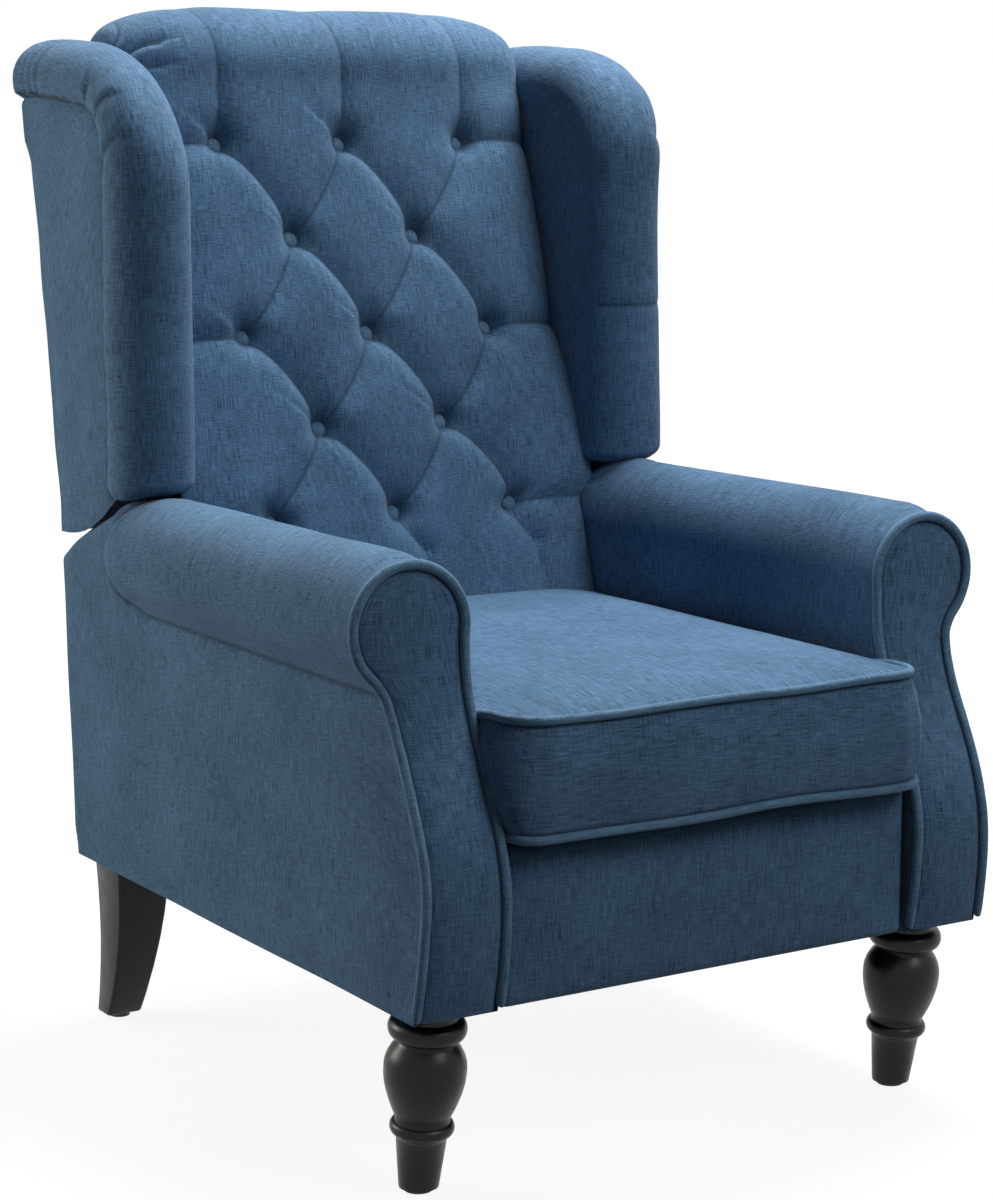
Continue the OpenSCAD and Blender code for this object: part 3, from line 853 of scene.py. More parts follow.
@dataclass
class Arm:
    """A rolled arm: the padded body, its puffed front panel and the welt between them.

    The stuffing stands prouder than the front's welt by `proud`, as far back as `proud_to`.
    """

    side: Side
    inner: float = 0.236
    outer: float = 0.321
    roll_x: float = 0.292
    roll_z: float = 0.522
    roll_r: float = 0.057
    seam_z: float = 0.457
    roll_from: float = 0.128
    roll_to: float = 0.194
    rear: float = 0.318
    rear_edge: float = 0.020
    welt_r: float = 0.0048
    seam_deep: float = 0.0052
    seam_wide: float = 0.0055
    proud: float = 0.0075
    proud_to: float = 0.10

    def outline(self, share: float = 1.0, top: float = ARM_TOP, inset: float = 0.0) -> Array:
        """The section across the arm, from the inner bottom edge over the top to the outer bottom edge.

        Args:
            share: 1 for the full roll, 0 for the plain rear of the arm.
            top: Height of the plain rear.
            inset: How far the full section is drawn in.

        Returns:
            Points [x, z], one per row.
        """
        roll = arc_points(self.roll_x, self.roll_z, self.roll_r - inset, 180, -47, 66)
        low, tail = self.outer - inset, roll[-1]
        t = np.linspace(0, 1, 13)[1:]
        under_x = tail[0] + (low - tail[0]) * np.sin(t * np.pi / 2) ** 0.9
        under_z = tail[1] + (self.seam_z - tail[1]) * t
        side = np.linspace(self.seam_z, ARM_BASE, 35)[1:]
        front = np.linspace(ARM_BASE, self.roll_z, 40)[:-1]
        under = np.column_stack([under_x, under_z])
        full = np.concatenate([upright(self.inner + inset, front), roll, under, upright(low, side)])
        if share >= 1:
            return full
        edge = self.rear_edge
        over = spaced(np.concatenate([
            arc_points(self.inner + edge, top - edge, edge, 180, 90, 20),
            arc_points(self.outer - edge, top - edge, edge, 90, 0, 20),
            [[self.outer, self.seam_z + 0.02]],
        ]), len(roll))
        plain = np.concatenate([
            upright(self.inner, np.linspace(ARM_BASE, top - edge, len(front) + 1)[:-1]),
            over,
            upright(self.outer, np.linspace(over[-1][1], self.seam_z, len(t) + 1)[1:]),
            upright(self.outer, side),
        ])
        return plain + (full - plain) * share

    def waist(self, z: Array) -> Array:
        """How far the outer side stands in from the arm's width at the front, by height."""
        heights = [0.18, 0.258, 0.313, 0.412, 0.440, 0.470, 0.490]
        return np.interp(z, heights, [-0.0015, 0.0015, 0.0050, 0.0065, 0.0050, 0.0010, 0.0])

    def front_edge(self, inset: float, beyond: float = 0.28) -> Array:
        """The full section with the waist drawn in, as x and height.

        Args:
            inset: How far it is drawn in all round.
            beyond: Where the outer side starts.

        Returns:
            Points [x, z], one per row.
        """
        edge = self.outline(inset=inset)
        edge[:, 0] -= np.where(edge[:, 0] > beyond, self.waist(edge[:, 1]), 0)
        return edge

    def top_at(self, y: float) -> float:
        """Height of the arm's top edge at y.

        Args:
            y: Position from front to rear.

        Returns:
            The height.
        """
        places = [-1, 0.125, 0.150, 0.170, 0.190, 0.220, 0.260, 0.290, 0.315, 0.332]
        heights = [ARM_TOP, ARM_TOP, 0.578, 0.574, 0.568, 0.5575, 0.541, 0.528, 0.516, 0.507]
        return float(np.interp(y, places, heights))

    def stations(self) -> Array:
        """The y of the body's sections, closest at the front, at the roll's end and at the rear edge."""
        along = stops((ARM_FRONT, ARM_FRONT + 0.02, 0.118, 0.206, self.rear), (7, 59, 33, 25))
        return np.concatenate([along, self.rear + 0.014 * np.sin(np.linspace(0.15, 1, 7) * np.pi / 2)])

    def section(self, y: float) -> Array:
        """The body's section at y: the roll ends in a quarter circle, and the rear edge is rounded.

        Args:
            y: Position from front to rear.

        Returns:
            Points [x, z], one per row.
        """
        share = 1.0
        if y > self.roll_from:
            share = min(quarter((y - self.roll_from) / (self.roll_to - self.roll_from)), 0.9999)
        ring = self.outline(share, self.top_at(y))
        if y > self.rear:
            depth = 0.013 * (1 - quarter((y - self.rear) / 0.0141))
            ring[:, 0] = np.clip(ring[:, 0], self.inner + depth, self.outer - depth)
            ring[:, 1] = np.minimum(ring[:, 1], self.top_at(y) - depth)
        return ring

    def tucked_end(self) -> Array:
        """Outlines of the skin where it turns in behind the front panel and closes on a flat end.

        Returns:
            Outlines, shaped (rows, points, 3), from the flat end outwards.
        """
        rings = []
        for depth, flat_y in ((0.004, -0.300), (0.004, None), (0.0015, None)):
            x, z = self.front_edge(depth, beyond=0.30).T
            z = np.maximum(z, ARM_BASE + depth)
            y = np.full(len(z), flat_y) if flat_y else front_line(z) + depth * 2
            rings.append(np.column_stack([x * self.side.value, y, z]))
        return np.array(rings)

    def body(self) -> bpy.types.Object:
        """Builds the arm's padded body as a skin of sections running back along the arm.

        Returns:
            The piece, on its body.
        """
        at = self.stations()[:, None]
        rings = np.array([self.section(y) for y in at[:, 0]])
        x, z = rings[:, :, 0], rings[:, :, 1]
        swept = (front_line(z) - ARM_FRONT) * (1 - ease((at - ARM_FRONT) / 0.24))
        leaned = (np.interp(z, [0.18, 0.505], [0.316, 0.337]) - 0.332) * ease((at - 0.05) / 0.28)
        proud = ease((at - ARM_FRONT) / 0.035) * (1 - ease((at - self.proud_to) / 0.07))
        z = z + self.proud * proud * np.clip((z - self.roll_z) / self.roll_r, 0, 1) ** 1.5
        points = np.stack([x, at + swept + leaned, z], axis=2)
        flat = points.reshape(-1, 3)
        x, y, z = flat.T
        # the roll is sewn to the outside panel in a seam that turns up behind the roll
        seam = np.array([(-0.5, 0.461), (-0.340, 0.462), (-0.125, 0.464), (0.120, 0.467), (0.150, 0.478),
                         (0.171, 0.500), (0.186, 0.520), (0.190, 0.535), (0.180, 0.556), (0.158, 0.577)])
        gap = gap_to(flat[:, 1:], seam)
        outside = x > 0.300
        panel = outside & ((z < 0.467) | (y > np.interp(z, seam[3:, 1], seam[3:, 0])))
        behind_welt = y - front_line(z)
        calm = ease(gap / 0.05) * ease((z - 0.185) / 0.03)
        calm = calm * ease(behind_welt / 0.07) * ease((0.335 - y) / 0.04)
        dent = np.where(outside, bell(gap, self.seam_wide), 0)
        x += -self.seam_deep * dent + np.where(panel, 0.0035 * calm, 0)
        x -= np.where(outside, self.waist(z) * (1 - ease(behind_welt / 0.14)), 0)
        wave = lumps(flat, 0.12, 3.0 + self.side.value)
        rolled = ease((z - 0.47) / 0.05) * np.where(y < 0.12, 1, 0)
        x += wave * 0.0016 * np.where(x > 0.30, 1, 0)
        z += wave * 0.0018 * rolled
        x *= self.side.value
        # painted shade along the roll's seam, in a line just behind the front welt and on the hidden
        # tucked end
        shade_mark = (0.95 * bell(gap, 0.0024) * outside).reshape(points.shape[:2])
        shade_mark = np.maximum(shade_mark, 0.7 * bell(at - ARM_FRONT - 0.003, 0.0035))
        tuck = self.tucked_end()
        points = np.concatenate([tuck, points])
        shade_mark = np.concatenate([np.full(tuck.shape[:2], 0.6), shade_mark])
        piece = loft(f"{self.side.word}_arm_body", points, LINEN, shade_marks=shade_mark, turn=True)
        return settle(piece, "base", "upholstery", f"{self.side.word}_arm")

    def front_panel(self) -> bpy.types.Object:
        """Builds the padded front panel inside the welt.

        Returns:
            The piece, on its body.
        """
        inset = 0.0042
        low, top = ARM_BASE + 0.002, self.roll_z + self.roll_r - inset
        edge = self.front_edge(inset)
        ring = edge[edge[:, 1] > low]
        heights = low + (top - low) * np.sin(np.linspace(0, np.pi / 2, 96)) ** 0.9
        heights[-1] = top - 0.0004
        peak = int(np.argmax(ring[:, 1]))
        left, right = ring[: peak + 1], ring[peak:][::-1]
        s = crowded(34)
        rim = (1 - np.abs(s) ** 6) ** 0.5
        rings, shade_marks = [], []
        for z in heights:
            x0, x1 = (float(np.interp(z, part[:, 1], part[:, 0])) for part in (left, right))
            mid, half = (x0 + x1) / 2, max((x1 - x0) / 2, 0.0004)
            lower, upper = ease((z - low) / 0.02), ease((top - z) / 0.03)
            swell = 0.0048 * (1 - np.abs(s) ** 2.4) * upper * (0.4 + 0.6 * lower)
            y = front_line(z) - 0.0025 * rim * (0.3 + 0.7 * min(upper, 1)) - swell
            back_y = np.full(len(s), float(front_line(z)) + 0.004)
            back = level(mid + half * s * 0.96, back_y, z)[::-1][1:-1]
            rings.append(np.concatenate([level(mid + half * s, y, z), back]))
            # painted shade round the panel's rim, where it meets the welt
            rim_gap = np.minimum(half * (1 - np.abs(s)), top - z)
            shade_marks.append(np.concatenate([0.8 * bell(rim_gap, 0.003), np.zeros(len(back))]))
        points = np.array(rings)
        flat = points.reshape(-1, 3)
        flat[:, 1] += lumps(flat, 0.09, 11.0 + self.side.value) * 0.0014
        flat[:, 0] *= self.side.value
        piece = loft(f"{self.side.word}_arm_front_panel", points, LINEN, shade_marks=np.array(shade_marks))
        return settle(piece, "base", "upholstery", f"{self.side.word}_arm_front")

    def cord(self) -> bpy.types.Object:
        """Builds the welt that outlines the front panel and turns in under the arm at both ends.

        Returns:
            The piece, on its body.
        """
        edge = spaced([tuple(p) for p in self.front_edge(-0.0004) if p[1] > ARM_BASE + 0.0025], 150)
        x, z = edge.T
        path = np.column_stack([x * self.side.value, front_line(z) - 0.0024, z])
        under = np.array([0.0, 0.007, -0.001])
        path = np.concatenate([[path[0] + under], path, [path[-1] + under]])
        piece = welt(f"{self.side.word}_arm_welt", path, self.welt_r)
        return settle(piece, "base", "upholstery", f"{self.side.word}_arm_piping")

    def build(self) -> None:
        self.body()
        self.front_panel()
        self.cord()


@dataclass
class FlatPad:
    """An upright pad with rounded edges and a crowned face."""

    half: float
    front: float
    rear: float
    low: float
    top: float
    radius: float
    rims: tuple[float, float]
    flatness: int

    @property
    def middle(self) -> Array:
        """The pad's middle."""
        return np.array([0.0, (self.front + self.rear) / 2, (self.low + self.top) / 2])

    def shape(self, a: Array, b: Array, c: Array) -> tuple[Array, Array]:
        """Places a cube's points on the rounded box about the pad's middle.

        Args:
            a: Across, from -1 to 1.
            b: From front, -1, to rear, 1.
            c: From the lower to the upper edge.

        Returns:
            The points, and how much of the full crown each one has.
        """
        half = np.array([self.half, (self.rear - self.front) / 2, (self.top - self.low) / 2])
        wide, high = self.rims
        box = np.column_stack([graded(a, half[0], wide), b * half[1], graded(c, half[2], high)])
        core = np.clip(box, -(half - self.radius), half - self.radius)
        points = core + unit(box - core) * self.radius
        crown = (1 - (points[:, 0] / half[0]) ** self.flatness) * (1 - (points[:, 2] / half[2]) ** 4)
        return points, crown


@dataclass
class RearPanel(FlatPad):
    """The cloth-covered lower rear panel between the arms, which stays with the base."""

    half: float = 0.2352
    front: float = 0.3045
    rear: float = 0.3115
    low: float = 0.180
    top: float = 0.257
    radius: float = 0.003
    rims: tuple[float, float] = (0.012, 0.008)
    flatness: int = 8

    def place(self, a: Array, b: Array, c: Array) -> Array:
        """Places the cube's points on the panel, crowned to the rear.

        Args:
            a: Across, from -1 to 1.
            b: From front, -1, to rear, 1.
            c: From the lower face, -1, to the upper one, 1.

        Returns:
            Points, one per row.
        """
        points, crown = self.shape(a, b, c)
        points[:, 1] += np.where(b > ON_FACE, 0.0015 * crown, 0)
        return points + self.middle

    def build(self) -> None:
        """Builds the thin pad that stands for the panel."""
        piece = pad_box("rear_lower_panel_cover", 44, self.place, LINEN)
        settle(piece, "base", "upholstery", "rear_panel")


@dataclass
class FrontLeg:
    """A turned front leg with a collar bead, a vase, a ring bead and a plain taper."""

    side: Side
    x: float = 0.278
    foot_y: float = -0.340
    lean: float = 6.3
    vase_r: float = 0.038
    foot_r: float = 0.019
    neck_r: float = 0.025
    glide: float = 0.004

    def profile(self) -> list[tuple[float, float]]:
        """The turned outline as radius and height, from the foot upwards.

        Returns:
            Radius and height of each point.
        """
        vase_r, foot_r, neck_r = self.vase_r, self.foot_r, self.neck_r
        foot = [(0.0, 0.0), (foot_r - 0.003, 0.0), (foot_r - 0.0012, 0.0012), (foot_r - 0.0004, 0.005),
                (foot_r, 0.009), (0.0212, 0.030), (0.0235, 0.053)]
        ring = [(neck_r + 0.0048 * math.cos(a), 0.0635 + 0.0062 * math.sin(a))
                for a in np.radians(np.arange(-80, 81, 16))]
        vase = [(vase_r - (vase_r - neck_r) * (i / 14) ** 1.7, 0.118 - 0.045 * i / 14)
                for i in range(14, 0, -1)]
        crown = [(vase_r, 0.122), (vase_r - 0.0004, 0.127), (vase_r - 0.0022, 0.1335),
                 (vase_r - 0.0056, 0.140), (vase_r - 0.0095, 0.1445), (0.0268, 0.1468), (0.0262, 0.1487)]
        collar = [(0.028 + 0.0082 * math.cos(a), 0.160 + 0.0097 * math.sin(a))
                  for a in np.radians(np.arange(-75, 76, 12.5))]
        top = [(0.0283, 0.171), (0.0283, 0.190), (0.0, 0.190)]
        return foot + ring + [(0.0252, 0.0712)] + vase + crown + collar + top

    def build(self) -> None:
        """Spins the outline, leans the leg and cuts it at the glide and under the arm."""
        bm = bmesh.new()
        points = [bm.verts.new((r, 0, z)) for r, z in self.profile()]
        edges = [bm.edges.new(pair) for pair in zip(points[:-1], points[1:])]
        bmesh.ops.spin(
            bm, geom=points + edges, cent=(0, 0, 0), axis=(0, 0, 1), angle=2 * math.pi, steps=56,
            use_merge=True,
        )
        bmesh.ops.remove_doubles(bm, verts=bm.verts, dist=1e-5)
        foot = Matrix.Translation((self.side.value * self.x, self.foot_y, 0))
        place = foot @ Matrix.Rotation(math.radians(self.lean), 4, "X")
        bmesh.ops.transform(bm, matrix=place, verts=bm.verts)
        for height, up in ((self.glide, -1), (ARM_BASE, 1)):
            cut = bmesh.ops.bisect_plane(
                bm, geom=bm.verts[:] + bm.edges[:] + bm.faces[:],
                plane_co=(0, 0, height), plane_no=(0, 0, up), clear_outer=True,
            )
            rim = [item for item in cut["geom_cut"] if isinstance(item, bmesh.types.BMEdge)]
            bmesh.ops.holes_fill(bm, edges=rim, sides=0)
        piece = finish_mesh(bm, f"front_leg_{self.side.word}_turned", LEG_BLACK, 40)
        settle(piece, "base", "leg_wood", f"front_leg_{self.side.word}")


@dataclass
class RearLeg:
    """A sabre rear leg with softened edges."""

    side: Side
    outer: float = 0.307
    width: float = 0.060
    foot: float = 0.039
    softened: float = 0.003
    sharper: float = 40.0

    def width_at(self, z: float) -> float:
        """The leg's width across at height z."""
        widths = [self.foot, self.foot + 0.004, self.width - 0.003, self.width]
        return float(np.interp(z, [0, 0.04, 0.14, 0.18], widths))

    def build(self) -> None:
        """Extrudes the sabre outline, tapers it and bevels its edges."""
        front = spaced([(0.234, 0.180), (0.232, 0.150), (0.233, 0.120), (0.237, 0.090), (0.245, 0.058),
                        (0.255, 0.030), (0.268, 0.004)], 16)
        rear = spaced([(0.296, 0.004), (0.291, 0.030), (0.287, 0.060), (0.285, 0.090), (0.286, 0.120),
                       (0.289, 0.150), (0.294, 0.180)], 16)
        bm = bmesh.new()
        face = bm.faces.new([bm.verts.new((0, y, z)) for y, z in np.concatenate([front, rear])])
        moved = bmesh.ops.extrude_face_region(bm, geom=[face])
        far = {item for item in moved["geom"] if isinstance(item, bmesh.types.BMVert)}
        for vert in bm.verts:
            inset = 0.0 if vert in far else self.width_at(vert.co.z)
            vert.co.x = self.side.value * (self.outer - inset)
        bmesh.ops.recalc_face_normals(bm, faces=bm.faces)
        sharp = [
            edge for edge in bm.edges
            if len(edge.link_faces) == 2 and edge.calc_face_angle() > math.radians(self.sharper)
            and not all(vert.co.z > ARM_BASE - 1e-5 for vert in edge.verts)
        ]
        bmesh.ops.bevel(
            bm, geom=sharp, offset=self.softened, offset_type="OFFSET", affect="EDGES", segments=3,
            profile=0.5, material=-1, clamp_overlap=True,
        )
        piece = finish_mesh(bm, f"rear_leg_{self.side.word}_sabre", LEG_BLACK, 60)
        settle(piece, "base", "leg_wood", f"rear_leg_{self.side.word}")


# ---------------------------------------------------------------- seat and footrest


@dataclass
class Cushion:
    """The seat cushion: a crowned top, a boxed border and two welts."""

    half: float = 0.228
    front: float = -0.436
    low: float = 0.336
    top: float = 0.444
    crown: float = 0.015
    corner: float = 0.038
    welt_r: float = 0.0042
    border: float = 0.93
    low_seam: float = 0.338

    def wider(self, y: Array, z: Numbers) -> Array:
        """How much wider the stuffing presses the cushion out where it stands in front of the arms.

        Args:
            y: Positions from front to rear.
            z: Heights.

        Returns:
            The extra half width.
        """
        before_arms = ease((front_line(z) + 0.004 - y) / 0.035)
        return np.interp(z, [self.low, self.top], [0.0105, 0.0]) * before_arms

    def hang(self, y: Array) -> Array:
        """How far the lower edge stands forward of the upper one at y."""
        return 1 - ease((y - self.front) / 0.06)

    def rear_at(self, z: Array) -> Array:
        """The y where the cushion meets the back pad at height z."""
        return pad_line(np.maximum(z, 0.350)) - 0.004

    def plan(self, a: Array, b: Array, z: Array) -> tuple[Array, Array]:
        """Maps cube coordinates to the cushion's plan with rounded front corners.

        Args:
            a: Across, from -1 to 1.
            b: From front, -1, to rear, 1.
            z: Heights, which the rear edge depends on.

        Returns:
            Plan positions x and y.
        """
        length = (self.rear_at(z) - self.front) / 2
        corner, straight = self.corner, self.half - self.corner
        x = graded(a, self.half, 0.045, 0.3)
        y = graded(b, 1.0, 0.16, 0.3) * length
        u = np.clip((np.abs(x) - straight) / corner, 0, 1)
        v = np.clip((-y - (length - corner)) / corner, 0, 1)
        at_corner = (u > 0) & (v > 0)
        round_x = straight + corner * u * np.sqrt(1 - v * v / 2)
        round_y = -(length - corner + corner * v * np.sqrt(1 - u * u / 2))
        x = np.where(at_corner, np.sign(x) * round_x, x)
        return x, np.where(at_corner, round_y, y) + self.front + length

    def place(self, a: Array, b: Array, c: Array) -> Array:
        """Places the cube's points on the stuffed cushion.

        Args:
            a: Across, from -1 to 1.
            b: From front, -1, to rear, 1.
            c: From the lower face, -1, to the upper one, 1.

        Returns:
            Points, one per row.
        """
        height = np.where(np.abs(c) > ON_FACE, c, graded(c, 1.0, 0.18, 0.3))
        z = (self.low + self.top) / 2 + height * (self.top - self.low) / 2
        x, y = self.plan(a, b, z)
        x = x * (1 + self.wider(y, z) / self.half)
        y = y - 0.003 * (1 - height) / 2 * self.hang(y)
        # the border bulges, most of all in front
        side = np.maximum(np.abs(a), np.abs(b))
        boxing = ease((side - self.border) / (1 - self.border)) * (1 - height**2)
        swell = 0.009 * boxing * np.where(y < -0.34, 1.0, 0.15)
        out_x = np.sign(x) * np.clip((np.abs(x) - 0.17) / 0.05, 0, 1) ** 2
        out_y = -np.clip((-0.36 - y) / 0.06, 0, 1) ** 2
        out = np.column_stack([out_x, out_y])
        out = out / np.maximum(np.linalg.norm(out, axis=1, keepdims=True), 1.0)
        x = x + out[:, 0] * swell * (np.abs(a) > self.border)
        y = y + out[:, 1] * swell
        # the top is crowned, wavy and puckered along its front welt
        e_x = np.clip((self.half - np.abs(x)) / 0.11, 0, 1)
        e_y = np.clip((y - self.front) / 0.13, 0, 1)
        e_r = np.clip((self.rear_at(z) - y) / 0.12, 0, 1)
        rise = (1 - (1 - e_x) ** 2.6) * (1 - (1 - e_y) ** 2.6) * (0.6 + 0.4 * (1 - (1 - e_r) ** 2))
        wave = lumps(np.column_stack([x, y, z]), 0.11, 21.0)
        near = np.exp(-np.clip(y - self.front, 0, 1) / 0.030) * ease((y - self.front) / 0.01)
        pucker = near * 0.0022 * (np.sin(x * 150 + 2 * np.sin(x * 31)) + 0.6 * np.sin(x * 263 + 1.3))
        z = z + np.where(c > ON_FACE, self.crown * rise + wave * 0.0018 * rise + pucker, 0)
        y = y + lumps(np.column_stack([x, z * 2.2, y]), 0.05, 7.0) * 0.0016 * boxing
        return np.column_stack([x, y, z])

    def edge_path(self, z: float) -> Array:
        """The path of a welt round the cushion's front and back along its sides, at one height.

        Args:
            z: The height.

        Returns:
            Points, one per row.
        """
        half, front, r = self.half + 0.0005, self.front - 0.0022, self.corner
        left = [(-half, -0.20)]
        for turn in np.radians(np.linspace(0, 90, 16)):
            left.append((-(half - r) - r * math.cos(turn), front + r - r * math.sin(turn)))
        x, y = spaced(left + [(-x, y) for x, y in left[::-1]], 160).T
        low = (self.top - z) / (self.top - self.low)
        x = x * (1 + self.wider(y, z) / self.half)
        y = y - 0.003 * low * self.hang(y)
        return np.column_stack([x, y + 0.0004 * np.sin(x * 60), self.welt_height(x, y, z)])

    def welt_height(self, x: Array, y: Array, z: float) -> Array:
        """The wavering height of the welt whose nominal height is z, at places x and y.

        Args:
            x: Positions across.
            y: Positions from front to rear.
            z: The nominal height.

        Returns:
            The heights.
        """
        low = (self.top - z) / (self.top - self.low)
        lift = 0.0007 * np.sin(x * 31 + z * 90) + 0.0012 * low * np.sin(x * 24 + 0.6)
        return z + lift - 0.006 * (1 - low) * ease((y + 0.395) / 0.06)

    def seam_shade(self, points: Array) -> Array:
        """The painted shade line where the border turns in beside each welt.

        Args:
            points: The cushion's points, one per row.

        Returns:
            Strength of the painted shade at each point.
        """
        x, y, z = points.T
        reach = self.welt_r + 0.0012
        upper = z - self.welt_height(x, y, self.top) + reach
        lower = z - self.welt_height(x, y, self.low_seam) - reach
        return 0.85 * np.maximum(bell(upper, SHADE_LINE_WIDTH), bell(lower, SHADE_LINE_WIDTH))

    def build(self) -> None:
        """Builds the cushion and both welts."""
        piece = pad_box(
            "seat_cushion_cover", 88, self.place, LINEN, crosswise=True, shade=self.seam_shade
        )
        settle(piece, "seat", "upholstery", "seat_cushion")
        for name, z in (("upper", self.top), ("lower", self.low_seam)):
            cord = welt(f"seat_cushion_welt_{name}", self.edge_path(z), self.welt_r)
            settle(cord, "seat", "upholstery", "seat_piping")


@dataclass
class FootrestPanel(FlatPad):
    """The padded footrest front, which lies upright between the arm fronts when closed."""

    half: float = 0.231
    front: float = -0.409
    rear: float = -0.3815
    low: float = 0.1795
    top: float = 0.328
    radius: float = 0.009
    rims: tuple[float, float] = (0.02, 0.016)
    flatness: int = 6

    def place(self, a: Array, b: Array, c: Array) -> Array:
        """Places the cube's points on the padded panel, crowned to the front.

        Args:
            a: Across, from -1 to 1.
            b: From front, -1, to rear, 1.
            c: From the lower face, -1, to the upper one, 1.

        Returns:
            Points, one per row.
        """
        points, crown = self.shape(a, b, c)
        wave = lumps(points + self.middle, 0.10, 31.0)
        points[:, 1] -= np.where(points[:, 1] < -0.001, 0.005 * crown + 0.0015 * wave * crown, 0)
        return points + self.middle

    def shade(self, points: Array) -> Array:
        """A painted shadow under the cushion's lower welt, where the panel meets it."""
        return 0.60 * bell(np.clip(self.top - 0.003 - points[:, 2], 0, 1), 0.007)

    def build(self) -> None:
        """Builds the pad."""
        piece = pad_box("footrest_panel_cover", 70, self.place, LINEN, shade=self.shade)
        settle(piece, "footrest", "upholstery", "footrest_pad")


# ---------------------------------------------------------------- back


@dataclass(frozen=True)
class Pleat:
    """One sewn pleat or tuft fold, drawn in width and height along the cloth.

    It fades over `upper` on one side of its line and over `lower` on the other. A firm one keeps its
    depth on the crest.
    """

    start: tuple[float, float]
    end: tuple[float, float]
    bulge: float
    depth: float
    upper: float
    lower: float
    # strength of the painted shade along the fold's line
    shade_mark: float
    firm: bool = False

    def path(self) -> Array:
        """The fold's curved line.

        Returns:
            Points [x, distance along the cloth], one per row.
        """
        a, b = np.array(self.start), np.array(self.end)
        t = np.linspace(0, 1, 14)[:, None]
        step = b - a
        across = np.array([-step[1], step[0]]) / max(float(np.linalg.norm(step)), SHORTEST)
        return a + step * t + across * self.bulge * 4 * t * (1 - t)

    def press(self, x: Array, s: Array) -> tuple[Array, Array]:
        """How deep the fold pulls the cloth in, and how strong the painted shade along its line is.

        Args:
            x: Positions across.
            s: Positions along the cloth.

        Returns:
            Depths, and strengths of the painted shade line, between 0 and 1.
        """
        path = self.path()
        near = np.full(x.shape, FAR)
        side = np.zeros(x.shape)
        for a, b in zip(path[:-1], path[1:]):
            step = b - a
            t = np.clip(((x - a[0]) * step[0] + (s - a[1]) * step[1]) / (step @ step), 0, 1)
            dx, ds = x - a[0] - t * step[0], s - a[1] - t * step[1]
            gap = np.hypot(dx, ds)
            closer = gap < near
            near = np.where(closer, gap, near)
            side = np.where(closer, step[0] * ds - step[1] * dx, side)
        width = np.where(side > 0, self.upper, self.lower)
        return self.depth * bell(near, width, 1.15), self.shade_mark * bell(near, SHADE_LINE_WIDTH)


